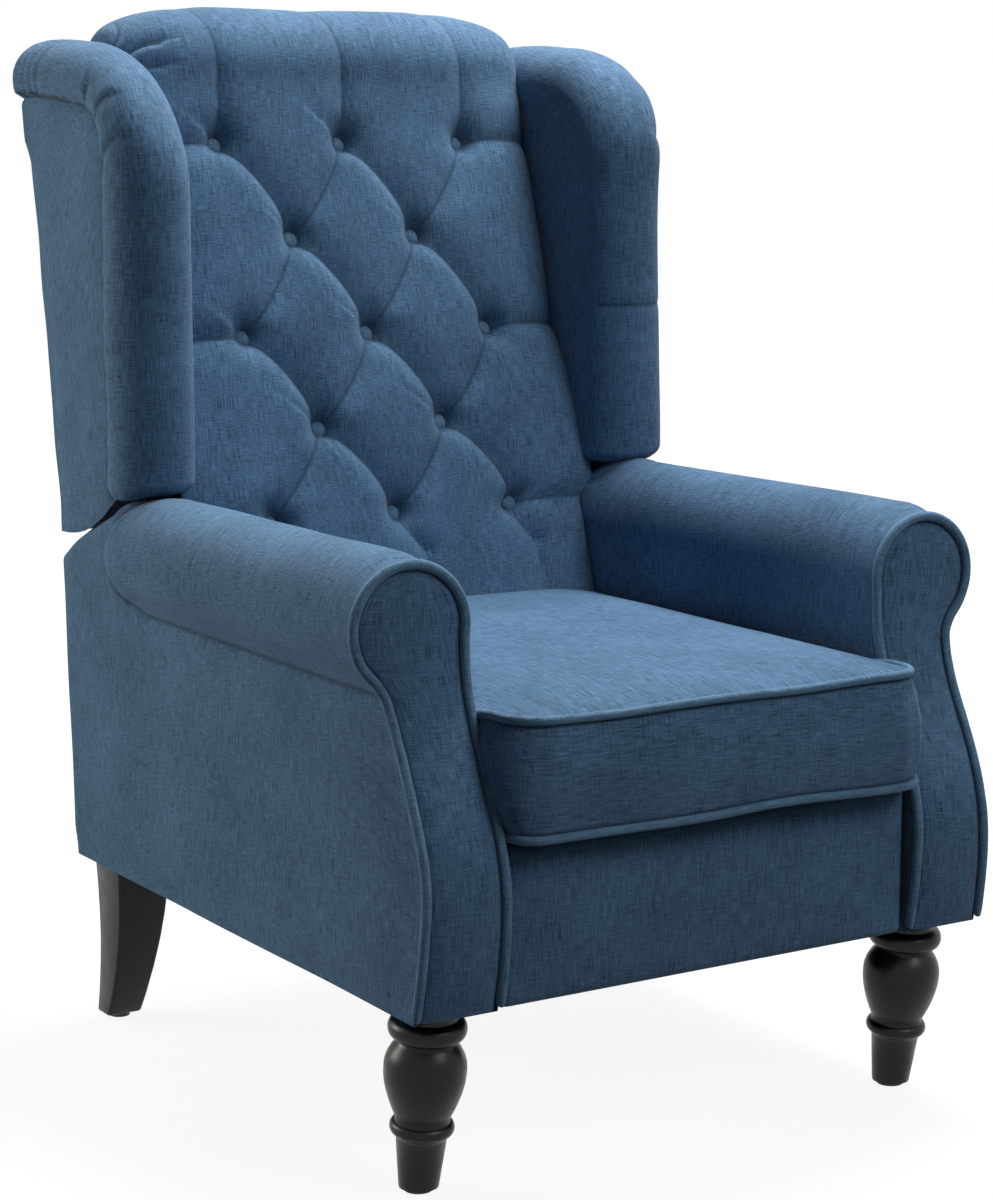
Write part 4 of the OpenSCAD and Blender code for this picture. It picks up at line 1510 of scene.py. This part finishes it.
@dataclass
class BackPad:
    """The tufted back pad with its rolled crest and covered buttons."""

    half: float = 0.250
    half_low: float = 0.2345
    low: float = 0.350
    thick: float = 0.085
    crest_from: float = 0.960
    crest_z: float = 1.010
    crest_r: float = 0.069
    crest_y: float = 0.3618
    column: float = 0.151
    rows: tuple[float, ...] = (0.940, 0.840, 0.738, 0.640, 0.547)
    proud: float = 0.004
    pit_deep: float = 0.0190
    pit_wide: float = 0.0150
    button_r: float = 0.0112

    def buttons(self) -> list[tuple[float, float]]:
        """The buttons' places as x and height.

        Returns:
            The places, row by row from the top.
        """
        spots = []
        for k, z in enumerate(self.rows):
            spots += [(x * self.column, z) for x in ((-1, 0, 1) if k % 2 == 0 else (-0.5, 0.5))]
        return spots

    def along(self, z: float) -> float:
        """Distance along the cloth from the pad's lower edge to height z."""
        return (z - self.low) * math.hypot(1, PAD_SLOPE)

    def diamonds(self) -> list[Pleat]:
        """The folds from each button to the ones below it, deeper and darker in one direction.

        Returns:
            The folds.
        """
        folds = []
        for (x, z), way in ((spot, way) for spot in self.buttons() for way in (1, -1)):
            k = self.rows.index(z)
            to = x + way * self.column / 2
            if k + 1 == len(self.rows) or abs(to) > self.column + 0.01:
                continue
            start, end = (x, self.along(z)), (to, self.along(self.rows[k + 1]))
            if way > 0:
                folds.append(Pleat(start, end, 0.010, 0.0120, 0.026, 0.009, 1.0))
            else:
                folds.append(Pleat(start, end, 0.006, 0.0095, 0.016, 0.015, 0.72))
        return folds

    def edge_pleats(self) -> list[Pleat]:
        """The pleats beside, above and below the outermost buttons, and the creases on the crest.

        Returns:
            The folds.
        """
        folds = []
        for z in self.rows[::2]:
            for way in (1, -1):
                start, end = (way * self.column, self.along(z)), (way * 0.262, self.along(z) + 0.002)
                folds.append(Pleat(start, end, 0.002, 0.008, 0.014, 0.014, 0.75))
        crest = self.along(self.crest_from)
        first, last = self.along(self.rows[0]), self.along(self.rows[-1])
        for x in (-self.column, 0.0, self.column):
            knee, foot = (x + 0.028, last - 0.044), (x + 0.034, last - 0.112)
            over = (x - 0.004, crest + 0.155)
            folds.append(Pleat((x, first), over, -0.009, 0.0085, 0.014, 0.013, 0.7))
            folds.append(Pleat((x, last), knee, -0.003, 0.009, 0.016, 0.012, 0.6))
            folds.append(Pleat(knee, foot, 0.0, 0.006, 0.016, 0.014, 0.4))
        top = crest + 0.10
        for shift, size in ((0.0, 1.0), (0.030, 0.5)):
            start, end = (-0.252, top - 0.037 - shift), (-0.204, top - 0.010 - shift)
            folds.append(Pleat(start, end, 0.009, 0.0075 * size, 0.012, 0.004, 0.9 * size, True))
        start, end = (-0.2505, top - 0.004), (-0.232, top + 0.052)
        folds.append(Pleat(start, end, -0.003, 0.004, 0.006, 0.006, 0.8, True))
        return folds

    def loop(self) -> tuple[Array, Array]:
        """The pad's side outline from its lower front edge over the crest.

        Returns:
            Points [y, z], and distances along the cloth, which are FAR behind and below.
        """
        plane = [(float(pad_line(z)), z) for z in np.linspace(self.low, 0.962, 40)]
        crest = arc_points(self.crest_y, self.crest_z, self.crest_r, 183, -22, 60)
        front = spaced(np.concatenate([plane, crest]), 396)
        keep = front.copy()
        for _ in range(18):
            front[1:-1] = (front[:-2] + 2 * front[1:-1] + front[2:]) / 4
        front[:12] = keep[:12]
        lower = [(float(pad_line(z)) + self.thick, z) for z in (0.93, self.low)]
        rear = spaced([tuple(front[-1]), (0.398, 0.970), *lower], 34)[1:]
        base = spaced([tuple(rear[-1]), tuple(front[0])], 12)[1:-1]
        run = np.concatenate([distances(front), np.full(len(rear) + len(base), FAR)])
        return np.concatenate([front, rear, base]), run

    def tufting(self, x: Array, s: Array) -> tuple[Array, Array]:
        """How deep the folds and buttons pull the cloth in, and how much shade is painted there.

        Args:
            x: Positions across.
            s: Positions along the cloth.

        Returns:
            Depths, and strengths of the painted shade.
        """
        total, shade_mark = np.zeros(x.shape), np.zeros(x.shape)
        on_crest = ease((s - self.along(0.955)) / 0.10)
        for fold in self.diamonds() + self.edge_pleats():
            depth, line = fold.press(x, s)
            total += (depth if fold.firm else depth * (1 - 0.70 * on_crest)) ** 4
            shade_mark = np.maximum(shade_mark, line)
        total = total**0.25
        for bx, bz in self.buttons():
            dx, ds = x - bx, s - self.along(bz)
            total += self.pit_deep * bell(np.hypot(dx - 0.002, ds - 0.003), self.pit_wide, 1.6)
            # painted shade under each button, and in its pit a little up and to one side where the shade
            # falls
            shade_mark = np.maximum(shade_mark, 0.65 * bell(np.hypot(dx, ds), self.button_r, 8))
            shade_mark = np.maximum(shade_mark, 0.66 * bell(np.hypot(dx - 0.005, ds - 0.009), 0.0115))
        return total, shade_mark

    def cover(self) -> bpy.types.Object:
        """Builds the tufted surface.

        Returns:
            The piece, on its body.
        """
        ring, run = self.loop()
        z = ring[:, 1]
        body = np.linspace(0, self.half - self.thick, 74)[:-1]
        end = self.half - self.thick + self.thick * np.sin(np.linspace(0, np.pi / 2, 34))
        x_at = np.concatenate([-np.concatenate([body, end])[::-1], np.concatenate([body, end])[1:]])
        x = np.repeat(x_at[:, None], len(ring), axis=1)
        s = np.repeat(run[None, :], len(x_at), axis=0)
        total, shade_mark = self.tufting(x, s)
        front = (s < FAR).astype(float)
        lift = self.proud * front * ease(s / 0.03)
        wave = np.array([lumps(np.column_stack([row, ring]), 0.09, 41.0) for row in x])
        rim = self.thick + 0.045 * ease((z - 0.975) / 0.05)
        q = np.clip((np.abs(x) - (self.half - rim)) / rim, 0, 1)
        edge = 0.034 * (1 - np.sqrt(np.clip(1 - q * q, 0, 1))) * (0.20 + 0.80 * ease((z - 0.62) / 0.14))
        depth = total * front - lift - wave * 0.0016 * front + edge
        # the pad is narrower between the arms and widest just above them
        wide = self.half_low + (self.half + 0.005 - self.half_low) * ease((z - 0.538) / 0.03)
        narrow = (wide - 0.005 * ease((z - 0.66) / 0.10)) / self.half
        points = np.array([
            np.column_stack([at * narrow, turned_in(ring, deep)]) for at, deep in zip(x_at, depth)
        ])
        piece = loft("back_pad_cover", points, LINEN, shade_marks=shade_mark * front, turn=True, angle=70)
        return settle(piece, "back", "upholstery", "back_pad")

    def button_set(self) -> bpy.types.Object:
        """Builds the cloth-covered buttons as one set of domes.

        Returns:
            The piece, on its body.
        """
        lean = math.atan(PAD_SLOPE)
        normal = np.array([0, -math.cos(lean), math.sin(lean)])
        across = np.array([1.0, 0, 0])
        up = np.cross(across, normal)
        outline = [(0.0004, 0.0), (0.0055, -0.0002), (0.0088, 0.0004), (0.0097, 0.0018),
                   (0.0093, 0.0036), (0.0078, 0.0054), (0.0055, 0.0068), (0.0028, 0.0076),
                   (0.00005, 0.0079)]
        bm = bmesh.new()
        uv = bm.loops.layers.uv.new("cloth")
        bm.verts.layers.float.new("crease_shade")
        turn = np.linspace(0, 2 * math.pi, 28, endpoint=False)
        for x, z in self.buttons():
            seat = np.array([x, float(pad_line(z)), z]) - normal * BUTTON_SEAT
            rings = []
            for r, h in outline:
                ring = [bm.verts.new(seat + normal * h + across * r * math.cos(a) - up * r * math.sin(a))
                        for a in turn]
                rings.append([bm.edges.new(pair) for pair in zip(ring, ring[1:] + ring[:1])])
            for low, high in zip(rings[:-1], rings[1:]):
                bmesh.ops.bridge_loops(bm, edges=low + high)
            for rim in (rings[0], rings[-1]):
                bmesh.ops.holes_fill(bm, edges=rim, sides=0)
        map_flat(bm.faces, uv)
        piece = finish_mesh(bm, "back_covered_buttons", LIT_BIAS_LINEN, 75)
        return settle(piece, "back", "upholstery", "back_buttons")

    def build(self) -> None:
        """Builds the pad and its buttons."""
        self.cover()
        self.button_set()


@dataclass
class Wing:
    """A padded wing: one skin that rolls round the front and top and ends in the outside panel."""

    side: Side
    axis_x: float = 0.289
    axis_y: float = 0.171
    roll_r: float = 0.0445
    inner: float = 0.2495
    outer: float = 0.321
    low: float = 0.584
    top: float = 0.9995
    rear: float = 0.438
    reach: float = 0.135
    rise: float = 0.120
    shoulder: float = 0.012
    seam_deep: float = 0.0045
    seam_wide: float = 0.005

    def axis(self) -> Array:
        """The roll's middle line [y, z], up the front, round the bend and back along the top.

        Returns:
            Evenly spaced points [y, z], one per row.
        """
        turn_z, turned_y = self.top - self.rise, self.axis_y + self.reach
        front = [(self.axis_y, z) for z in np.linspace(self.low, turn_z, 30)]
        bend = [(self.axis_y + self.reach * (1 - math.cos(a)), turn_z + self.rise * math.sin(a))
                for a in np.linspace(0, np.pi / 2, 24)[1:]]
        top = [(y, self.top + 0.005 * math.sin(math.pi * min((y - turned_y) / 0.16, 1.0)))
               for y in np.linspace(turned_y, self.rear, 24)[1:]]
        return spaced(front + bend + top, 230)

    def folds(self, bend: float, whole: float) -> list[Pleat]:
        """The gathers of the roll, as distance along it and around it from its front.

        Args:
            bend: Distance along the roll to the middle of the bend.
            whole: Length of the roll.

        Returns:
            The folds.
        """
        if self.side is Side.LEFT:
            fan = [
                Pleat((bend + 0.001, 0.092), (bend + 0.034, 0.083), -0.003, 0.0058, 0.005, 0.018, 1.0),
                Pleat((bend + 0.034, 0.083), (bend + 0.036, 0.058), -0.003, 0.0048, 0.005, 0.020, 1.0),
                Pleat((bend - 0.001, 0.092), (bend + 0.004, 0.040), 0.003, 0.0040, 0.005, 0.014, 0.9),
                Pleat((bend - 0.044, 0.096), (bend - 0.034, 0.050), 0.003, 0.0034, 0.005, 0.012, 0.9),
            ]
        else:
            fan = [
                Pleat((0.176, -0.050), (0.176, 0.055), 0.0, 0.0014, 0.004, 0.004, 0.8),
                Pleat((bend + 0.012, 0.034), (bend + 0.008, 0.080), 0.0, 0.0034, 0.005, 0.012, 0.8),
                Pleat((bend - 0.038, 0.034), (bend - 0.042, 0.080), 0.0, 0.0034, 0.005, 0.012, 0.8),
            ]
        for k in range(5):
            start, end = (whole - 0.028 - 0.017 * k, 0.088), (whole - 0.026 - 0.017 * k, 0.006)
            fan.append(Pleat(start, end, 0.003, 0.0030, 0.0062, 0.004, 0.45))
        return fan

    def sections(self) -> tuple[Array, Array]:
        """The wing's sections, which fan round the bend.

        Returns:
            Outlines, shaped (rows, points, 3), and the strengths of their painted shade.
        """
        axis = self.axis()
        ahead = unit(np.gradient(axis, axis=0))
        normals = np.column_stack([-ahead[:, 1], ahead[:, 0]])
        run = distances(axis)
        whole = float(run[-1])
        bend = float(run[int(np.argmin(np.abs(ahead[:, 0] - ahead[:, 1])))])
        edge = [(0.329, 0.529)] + [(float(side_edge(z)) - 0.005, z) for z in (0.560, 0.70, 0.86, 0.935)]
        spines = spaced(edge, 200)
        shares = np.interp(run, [0.0, 0.06, bend - 0.02, whole], [0.0, 0.15, 0.78, 1.0])
        spines = [spines[int(round(share * (len(spines) - 1)))] for share in shares]
        folds = self.folds(bend, whole)
        rows = [self.section(*row, bend, whole, folds) for row in zip(run, axis, normals, spines)]
        return np.array([ring for ring, _ in rows]), np.array([shade for _, shade in rows])

    def section(
        self, at: float, p: Array, n: Array, spine: Array, bend: float, whole: float,
        folds: Sequence[Pleat],
    ) -> tuple[Array, Array]:
        """One section of the wing: inner side, roll, outside panel and rear edge.

        Args:
            at: Distance along the roll.
            p: The roll's middle there, [y, z].
            n: The direction in which the roll faces there.
            spine: Where the section's rear edge lies, [y, z].
            bend: Distance along the roll to the middle of the bend.
            whole: Length of the roll.
            folds: The roll's gathers.

        Returns:
            The outline, and the strengths of its painted shade.
        """
        end_low = quarter(1 - min(at / 0.014, 1.0))
        end_rear = quarter(1 - min((whole - at) / 0.040, 1.0))
        slim = float(np.interp(at, [0, bend, whole], [1.0, 1.0, 0.94]))
        r = max(self.roll_r * slim * (0.60 + 0.40 * end_low) * (0.12 + 0.88 * end_rear), 0.003)
        lift = (1 - end_low) * 0.005 + (1 - end_rear) * 0.010
        last = math.radians(122 - 14 * float(ease((at - bend + 0.09) / 0.12)))
        turn = np.linspace(-math.pi / 2, last, 64)
        pulls = [fold.press(np.full(len(turn), at), turn * self.roll_r) for fold in folds]
        press = np.max([depth for depth, _ in pulls], axis=0)
        line = np.max([shade_mark for _, shade_mark in pulls], axis=0)
        scale = (r - press) / r
        # the cloth is pulled into a squarer shoulder on the outer half of the bend
        square = self.shoulder * math.exp(-(((at - bend) / 0.055) ** 2)) * np.clip(np.sin(turn), 0, 1)
        out = r * np.cos(turn) * scale + square
        arc_x = np.clip(self.axis_x + r * np.sin(turn) * scale, self.inner - 0.004, 1)
        seam_wave = 0.0012 * math.sin(at * 210) * np.clip((turn - 1.2) / 0.9, 0, 1)
        arc = np.column_stack([arc_x, p + n * (out - lift + seam_wave)[:, None]])
        join = p + n * (float(out[-1]) - lift) - n * 0.006
        join[0] = min(join[0], 0.4085)
        inner_start = np.array([self.inner, *spine])
        t = np.linspace(0, 1, 26)[:-1, None]
        inside = inner_start + (arc[0] - inner_start) * t
        inside[:, 0] = self.inner + (arc[0][0] - self.inner) * ease(t[:, 0])
        outer_start = np.array([self.outer, *join])
        outer_end = np.array([self.outer - 0.001, *spine])
        near_seam = [0.0, 0.012, 0.03, 0.055, 0.09, 0.14, 0.2, 0.28]
        dense = np.concatenate([near_seam, np.linspace(0.36, 1, 16)])[:, None]
        outside = outer_start + (outer_end - outer_start) * dense
        gap = np.linalg.norm(outside - outer_start, axis=1)
        swell = 0.0035 * ease(gap / 0.05) * ease((1 - dense[:, 0]) / 0.25)
        outside[:, 0] += -self.seam_deep * bell(gap, self.seam_wide) + swell
        closing = outer_end + (inner_start - outer_end) * np.linspace(0, 1, 8)[1:-1, None]
        sag = math.exp(-at / 0.035)
        outside[:, 2] -= 0.0205 * sag * np.sin(np.pi * dense[:, 0] ** 0.7)
        inside[:, 2] -= 0.006 * sag * np.sin(np.pi * (1 - t[:, 0]) ** 0.9)
        # painted shade in the roll's gathers and along the seam to the outside panel
        shade = np.concatenate([np.zeros(len(inside)), line, np.zeros(len(outside) + len(closing))])
        seam = len(inside) + len(arc)
        shade[seam - 1] = max(shade[seam - 1], 0.75)
        shade[seam] = 0.85
        return np.concatenate([inside, arc, outside, closing]), shade

    def build(self) -> None:
        """Builds the wing, with its lower end set to the arm beside it."""
        rings, shade_marks = self.sections()
        flat = rings.reshape(-1, 3)
        x, y, z = flat.T
        # the left wing's lower end hangs a little beside the arm's roll, the right one's is drawn up
        hang = 0.007 if self.side is Side.LEFT else -0.004
        near = ease((0.235 - y) / 0.05) * np.exp(-np.clip(z - self.low, 0, 1) / 0.04)
        z -= hang * ease((x - 0.298) / 0.03) * near
        if self.side is Side.RIGHT:
            x += 0.006 * ease((0.86 - z) / 0.26) * ease((x - 0.27) / 0.05) * ease((0.26 - y) / 0.06)
        wave = lumps(flat, 0.08, 51.0 + self.side.value)
        x += wave * 0.0016 * np.where(x > 0.30, 1, 0.4)
        y += wave * 0.0012 * np.where(x > 0.26, 1, 0.3)
        x *= self.side.value
        piece = loft(f"{self.side.word}_wing_cover", rings, LINEN, shade_marks=shade_marks, angle=65)
        settle(piece, "back", "upholstery", f"{self.side.word}_wing")


@dataclass
class OutsideBack:
    """The cloth panel that closes the back from behind."""

    low: float = 0.250
    top: float = 0.988
    narrow: float = 0.224
    wide: float = 0.3183
    crown: float = 0.250
    thick: float = 0.008
    edge: float = 0.006

    def width(self, z: float) -> float:
        """Half width at height z: narrow between the arms, wide behind the wings, less at the crest."""
        step = self.narrow + (self.wide - self.narrow) * ease((z - 0.596) / 0.012)
        return float(step - (self.wide - self.crown) * ease((z - 0.948) / 0.014))

    def heights(self) -> Array:
        """The panel's rows, closest at its rounded ends and at its steps in width.

        Returns:
            The heights, from the bottom to the top.
        """
        first, last = self.low + self.edge, self.top - self.edge
        return np.concatenate([
            self.low + self.edge * (1 - np.cos(np.linspace(0, np.pi / 2, 5)))[:-1],
            stops((first, 0.590, 0.614, 0.944, 0.966, last), (43, 9, 43, 9, 4))[:-1],
            last + self.edge * np.sin(np.linspace(0, np.pi / 2, 6)),
        ])

    def build(self) -> None:
        """Builds the panel as rows of flat closed outlines."""
        s = crowded(64)
        rim = np.clip(1 - np.abs(s) ** 14, 0, 1) ** 0.5
        rings = []
        for z in self.heights():
            middle, half = float(cover_line(z)), self.width(z)
            end = min(1.0, (z - self.low) / self.edge, (self.top - z) / self.edge)
            slim = self.thick / 2 * (0.15 + 0.85 * quarter(1 - end))
            bowed = ease((z - 0.59) / 0.03) * (1 - ease((z - 0.93) / 0.03))
            bow = (middle - float(side_edge(z))) * bowed
            mid = middle - self.thick / 2 - bow * np.abs(s) ** 4
            puffed = ease((z - self.low) / 0.08) * ease((self.top - z) / 0.08)
            swell = 0.004 * (1 - np.abs(s) ** 3) * puffed
            front = level(half * s, mid - slim * rim, z)[::-1][1:-1]
            rings.append(np.concatenate([level(half * s, mid + slim * rim + swell, z), front]))
        points = np.array(rings)
        flat = points.reshape(-1, 3)
        wave = lumps(flat, 0.16, 61.0)
        flat[:, 1] += wave * 0.0012 * np.where(flat[:, 1] > cover_line(flat[:, 2]) - 0.002, 1, 0)
        piece = loft("outside_back_cover", points, LINEN)
        settle(piece, "back", "upholstery", "back_cover")


# ---------------------------------------------------------------- frame, mechanism and studio


@dataclass
class Frame:
    """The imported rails, stiles, springs, webbing and fittings, given their finishes."""

    pine: tuple[str, ...] = ("rear_rail", "back_rails", "seat_cross_rails", "footrest_board")
    upright_pine: tuple[str, ...] = ("back_stiles", "seat_side_rails")
    plated: tuple[str, ...] = (
        "leg_bolts", "base_bolts", "seat_bolts", "base_studs", "seat_studs", "rear_lift_studs",
        "main_lift_studs", "footrest_studs",
    )
    painted: tuple[str, ...] = (
        "base_plates", "seat_plates", "back_brackets", "swing_links", "rear_lift_links",
        "main_lift_links", "cross_tube", "extension_links", "guide_links", "footrest_brackets",
    )

    def build(self) -> None:
        """Gives every carried-over node its finish."""
        reclothe(self.pine, PINE)
        reclothe(self.upright_pine, PINE_UP)
        reclothe(self.plated, ZINC)
        reclothe(self.painted, POWDER)
        reclothe(("seat_springs",), SPRING)
        reclothe(("back_webbing",), STRAP)
        reclothe(("leg_glides",), NYLON)


@dataclass
class Studio:
    """The pale floor, the soft lamps and the camera; powers in watts, angles in degrees."""

    floor_size: float = 9.0
    overhead: float = 94.0
    left: float = 54.0
    front: float = 44.0
    ambient: float = 0.02
    eye: tuple[float, float, float] = (-1.5506, -2.4868, 0.9594)
    down: float = 9.438
    turned: float = 32.194
    lens: float = 86.12

    def floor(self) -> None:
        """Builds the floor, which looks white to the camera and keeps the chair's shadow."""
        bm = bmesh.new()
        bmesh.ops.create_grid(bm, x_segments=8, y_segments=8, size=self.floor_size)
        mesh = bpy.data.meshes.new("studio_floor")
        bm.to_mesh(mesh)
        bm.free()
        finish = bpy.data.materials.new("studio floor paint")
        finish.use_nodes = True
        make = Nodes(finish.node_tree)
        place = make.add("TexCoord").outputs["Object"]
        away = make.add("VectorMath", {0: place}, operation="LENGTH").outputs["Value"]
        shown = make.seen_by("Is Camera Ray", "Is Glossy Ray")
        make.feed(finish.node_tree.nodes["Principled BSDF"], {
            "Base Color": (0.12, 0.12, 0.12, 1),
            "Roughness": 0.9,
            "Specular IOR Level": 0.1,
            "Emission Strength": make.math("MULTIPLY", shown, make.spread(away, 0.6, 1.9, 0.90, 1.0)),
            "Emission Color": (1, 1, 1, 1),
        })
        mesh.materials.append(finish)
        stand("studio_floor", mesh)

    def world(self) -> None:
        """Builds the world: white where it is seen, and a faint light on everything."""
        world = bpy.data.worlds.new("studio")
        world.use_nodes = True
        bpy.context.scene.world = world
        make = Nodes(world.node_tree)
        seen = make.seen_by("Is Camera Ray", "Is Glossy Ray", "Is Transmission Ray")
        strength = make.spread(seen, 0, 1, self.ambient, 1.0)
        make.feed(world.node_tree.nodes["Background"], {"Strength": strength, "Color": (1, 1, 1, 1)})

    def lamp(
        self, name: str, place: Sequence[float], aim_z: float, size: float, power: float,
        blue: float = 1.0,
    ) -> None:
        """Adds a square soft lamp aimed at the chair's middle line.

        Args:
            name: Lamp name.
            place: Where it hangs.
            aim_z: Height that it points at.
            size: Its side length.
            power: Its power.
            blue: Blue share of its light.
        """
        data = bpy.data.lights.new(name, "AREA")
        data.color = (1.0, 1.0, blue)
        data.size = size
        data.energy = power
        lamp = stand(name, data)
        lamp.location = place
        lamp.rotation_euler = (Vector((0, 0, aim_z)) - Vector(place)).to_track_quat("-Z", "Y").to_euler()

    def camera(self) -> None:
        """Adds the camera at the chair's three-quarter view."""
        data = bpy.data.cameras.new("camera")
        data.lens = self.lens
        data.sensor_width = 36.0
        data.shift_x = 0.0041
        camera = stand("camera", data)
        camera.location = self.eye
        camera.rotation_euler = (math.radians(90 - self.down), 0, math.radians(-self.turned))
        bpy.context.scene.camera = camera

    def build(self) -> None:
        """Builds the studio."""
        self.camera()
        self.floor()
        self.world()
        self.lamp("overhead lamp", (0.75, 0.40, 2.7), 0.4, 1.4, self.overhead)
        self.lamp("left lamp", (-2.3, 1.9, 1.3), 0.65, 1.2, self.left, 0.92)
        self.lamp("front lamp", (1.0, -2.7, 2.7), 0.4, 1.5, self.front)
        bpy.context.scene.view_settings.view_transform = "Standard"


def main() -> None:
    """Builds the armchair's sub-assemblies in order, then the studio."""
    logging.basicConfig(level=logging.INFO, format="%(name)s: %(message)s")
    arms = {Side.LEFT: Arm(Side.LEFT), Side.RIGHT: Arm(Side.RIGHT, proud=0.0100, proud_to=0.135)}
    wings = {Side.LEFT: Wing(Side.LEFT), Side.RIGHT: Wing(Side.RIGHT, reach=0.105, rise=0.085)}
    for side in Side:
        for piece in (arms[side], FrontLeg(side), RearLeg(side), wings[side]):
            piece.build()
    for piece in (RearPanel(), Cushion(), FootrestPanel(), BackPad(), OutsideBack(), Frame(), Studio()):
        piece.build()


if __name__ == "__main__":
    main()
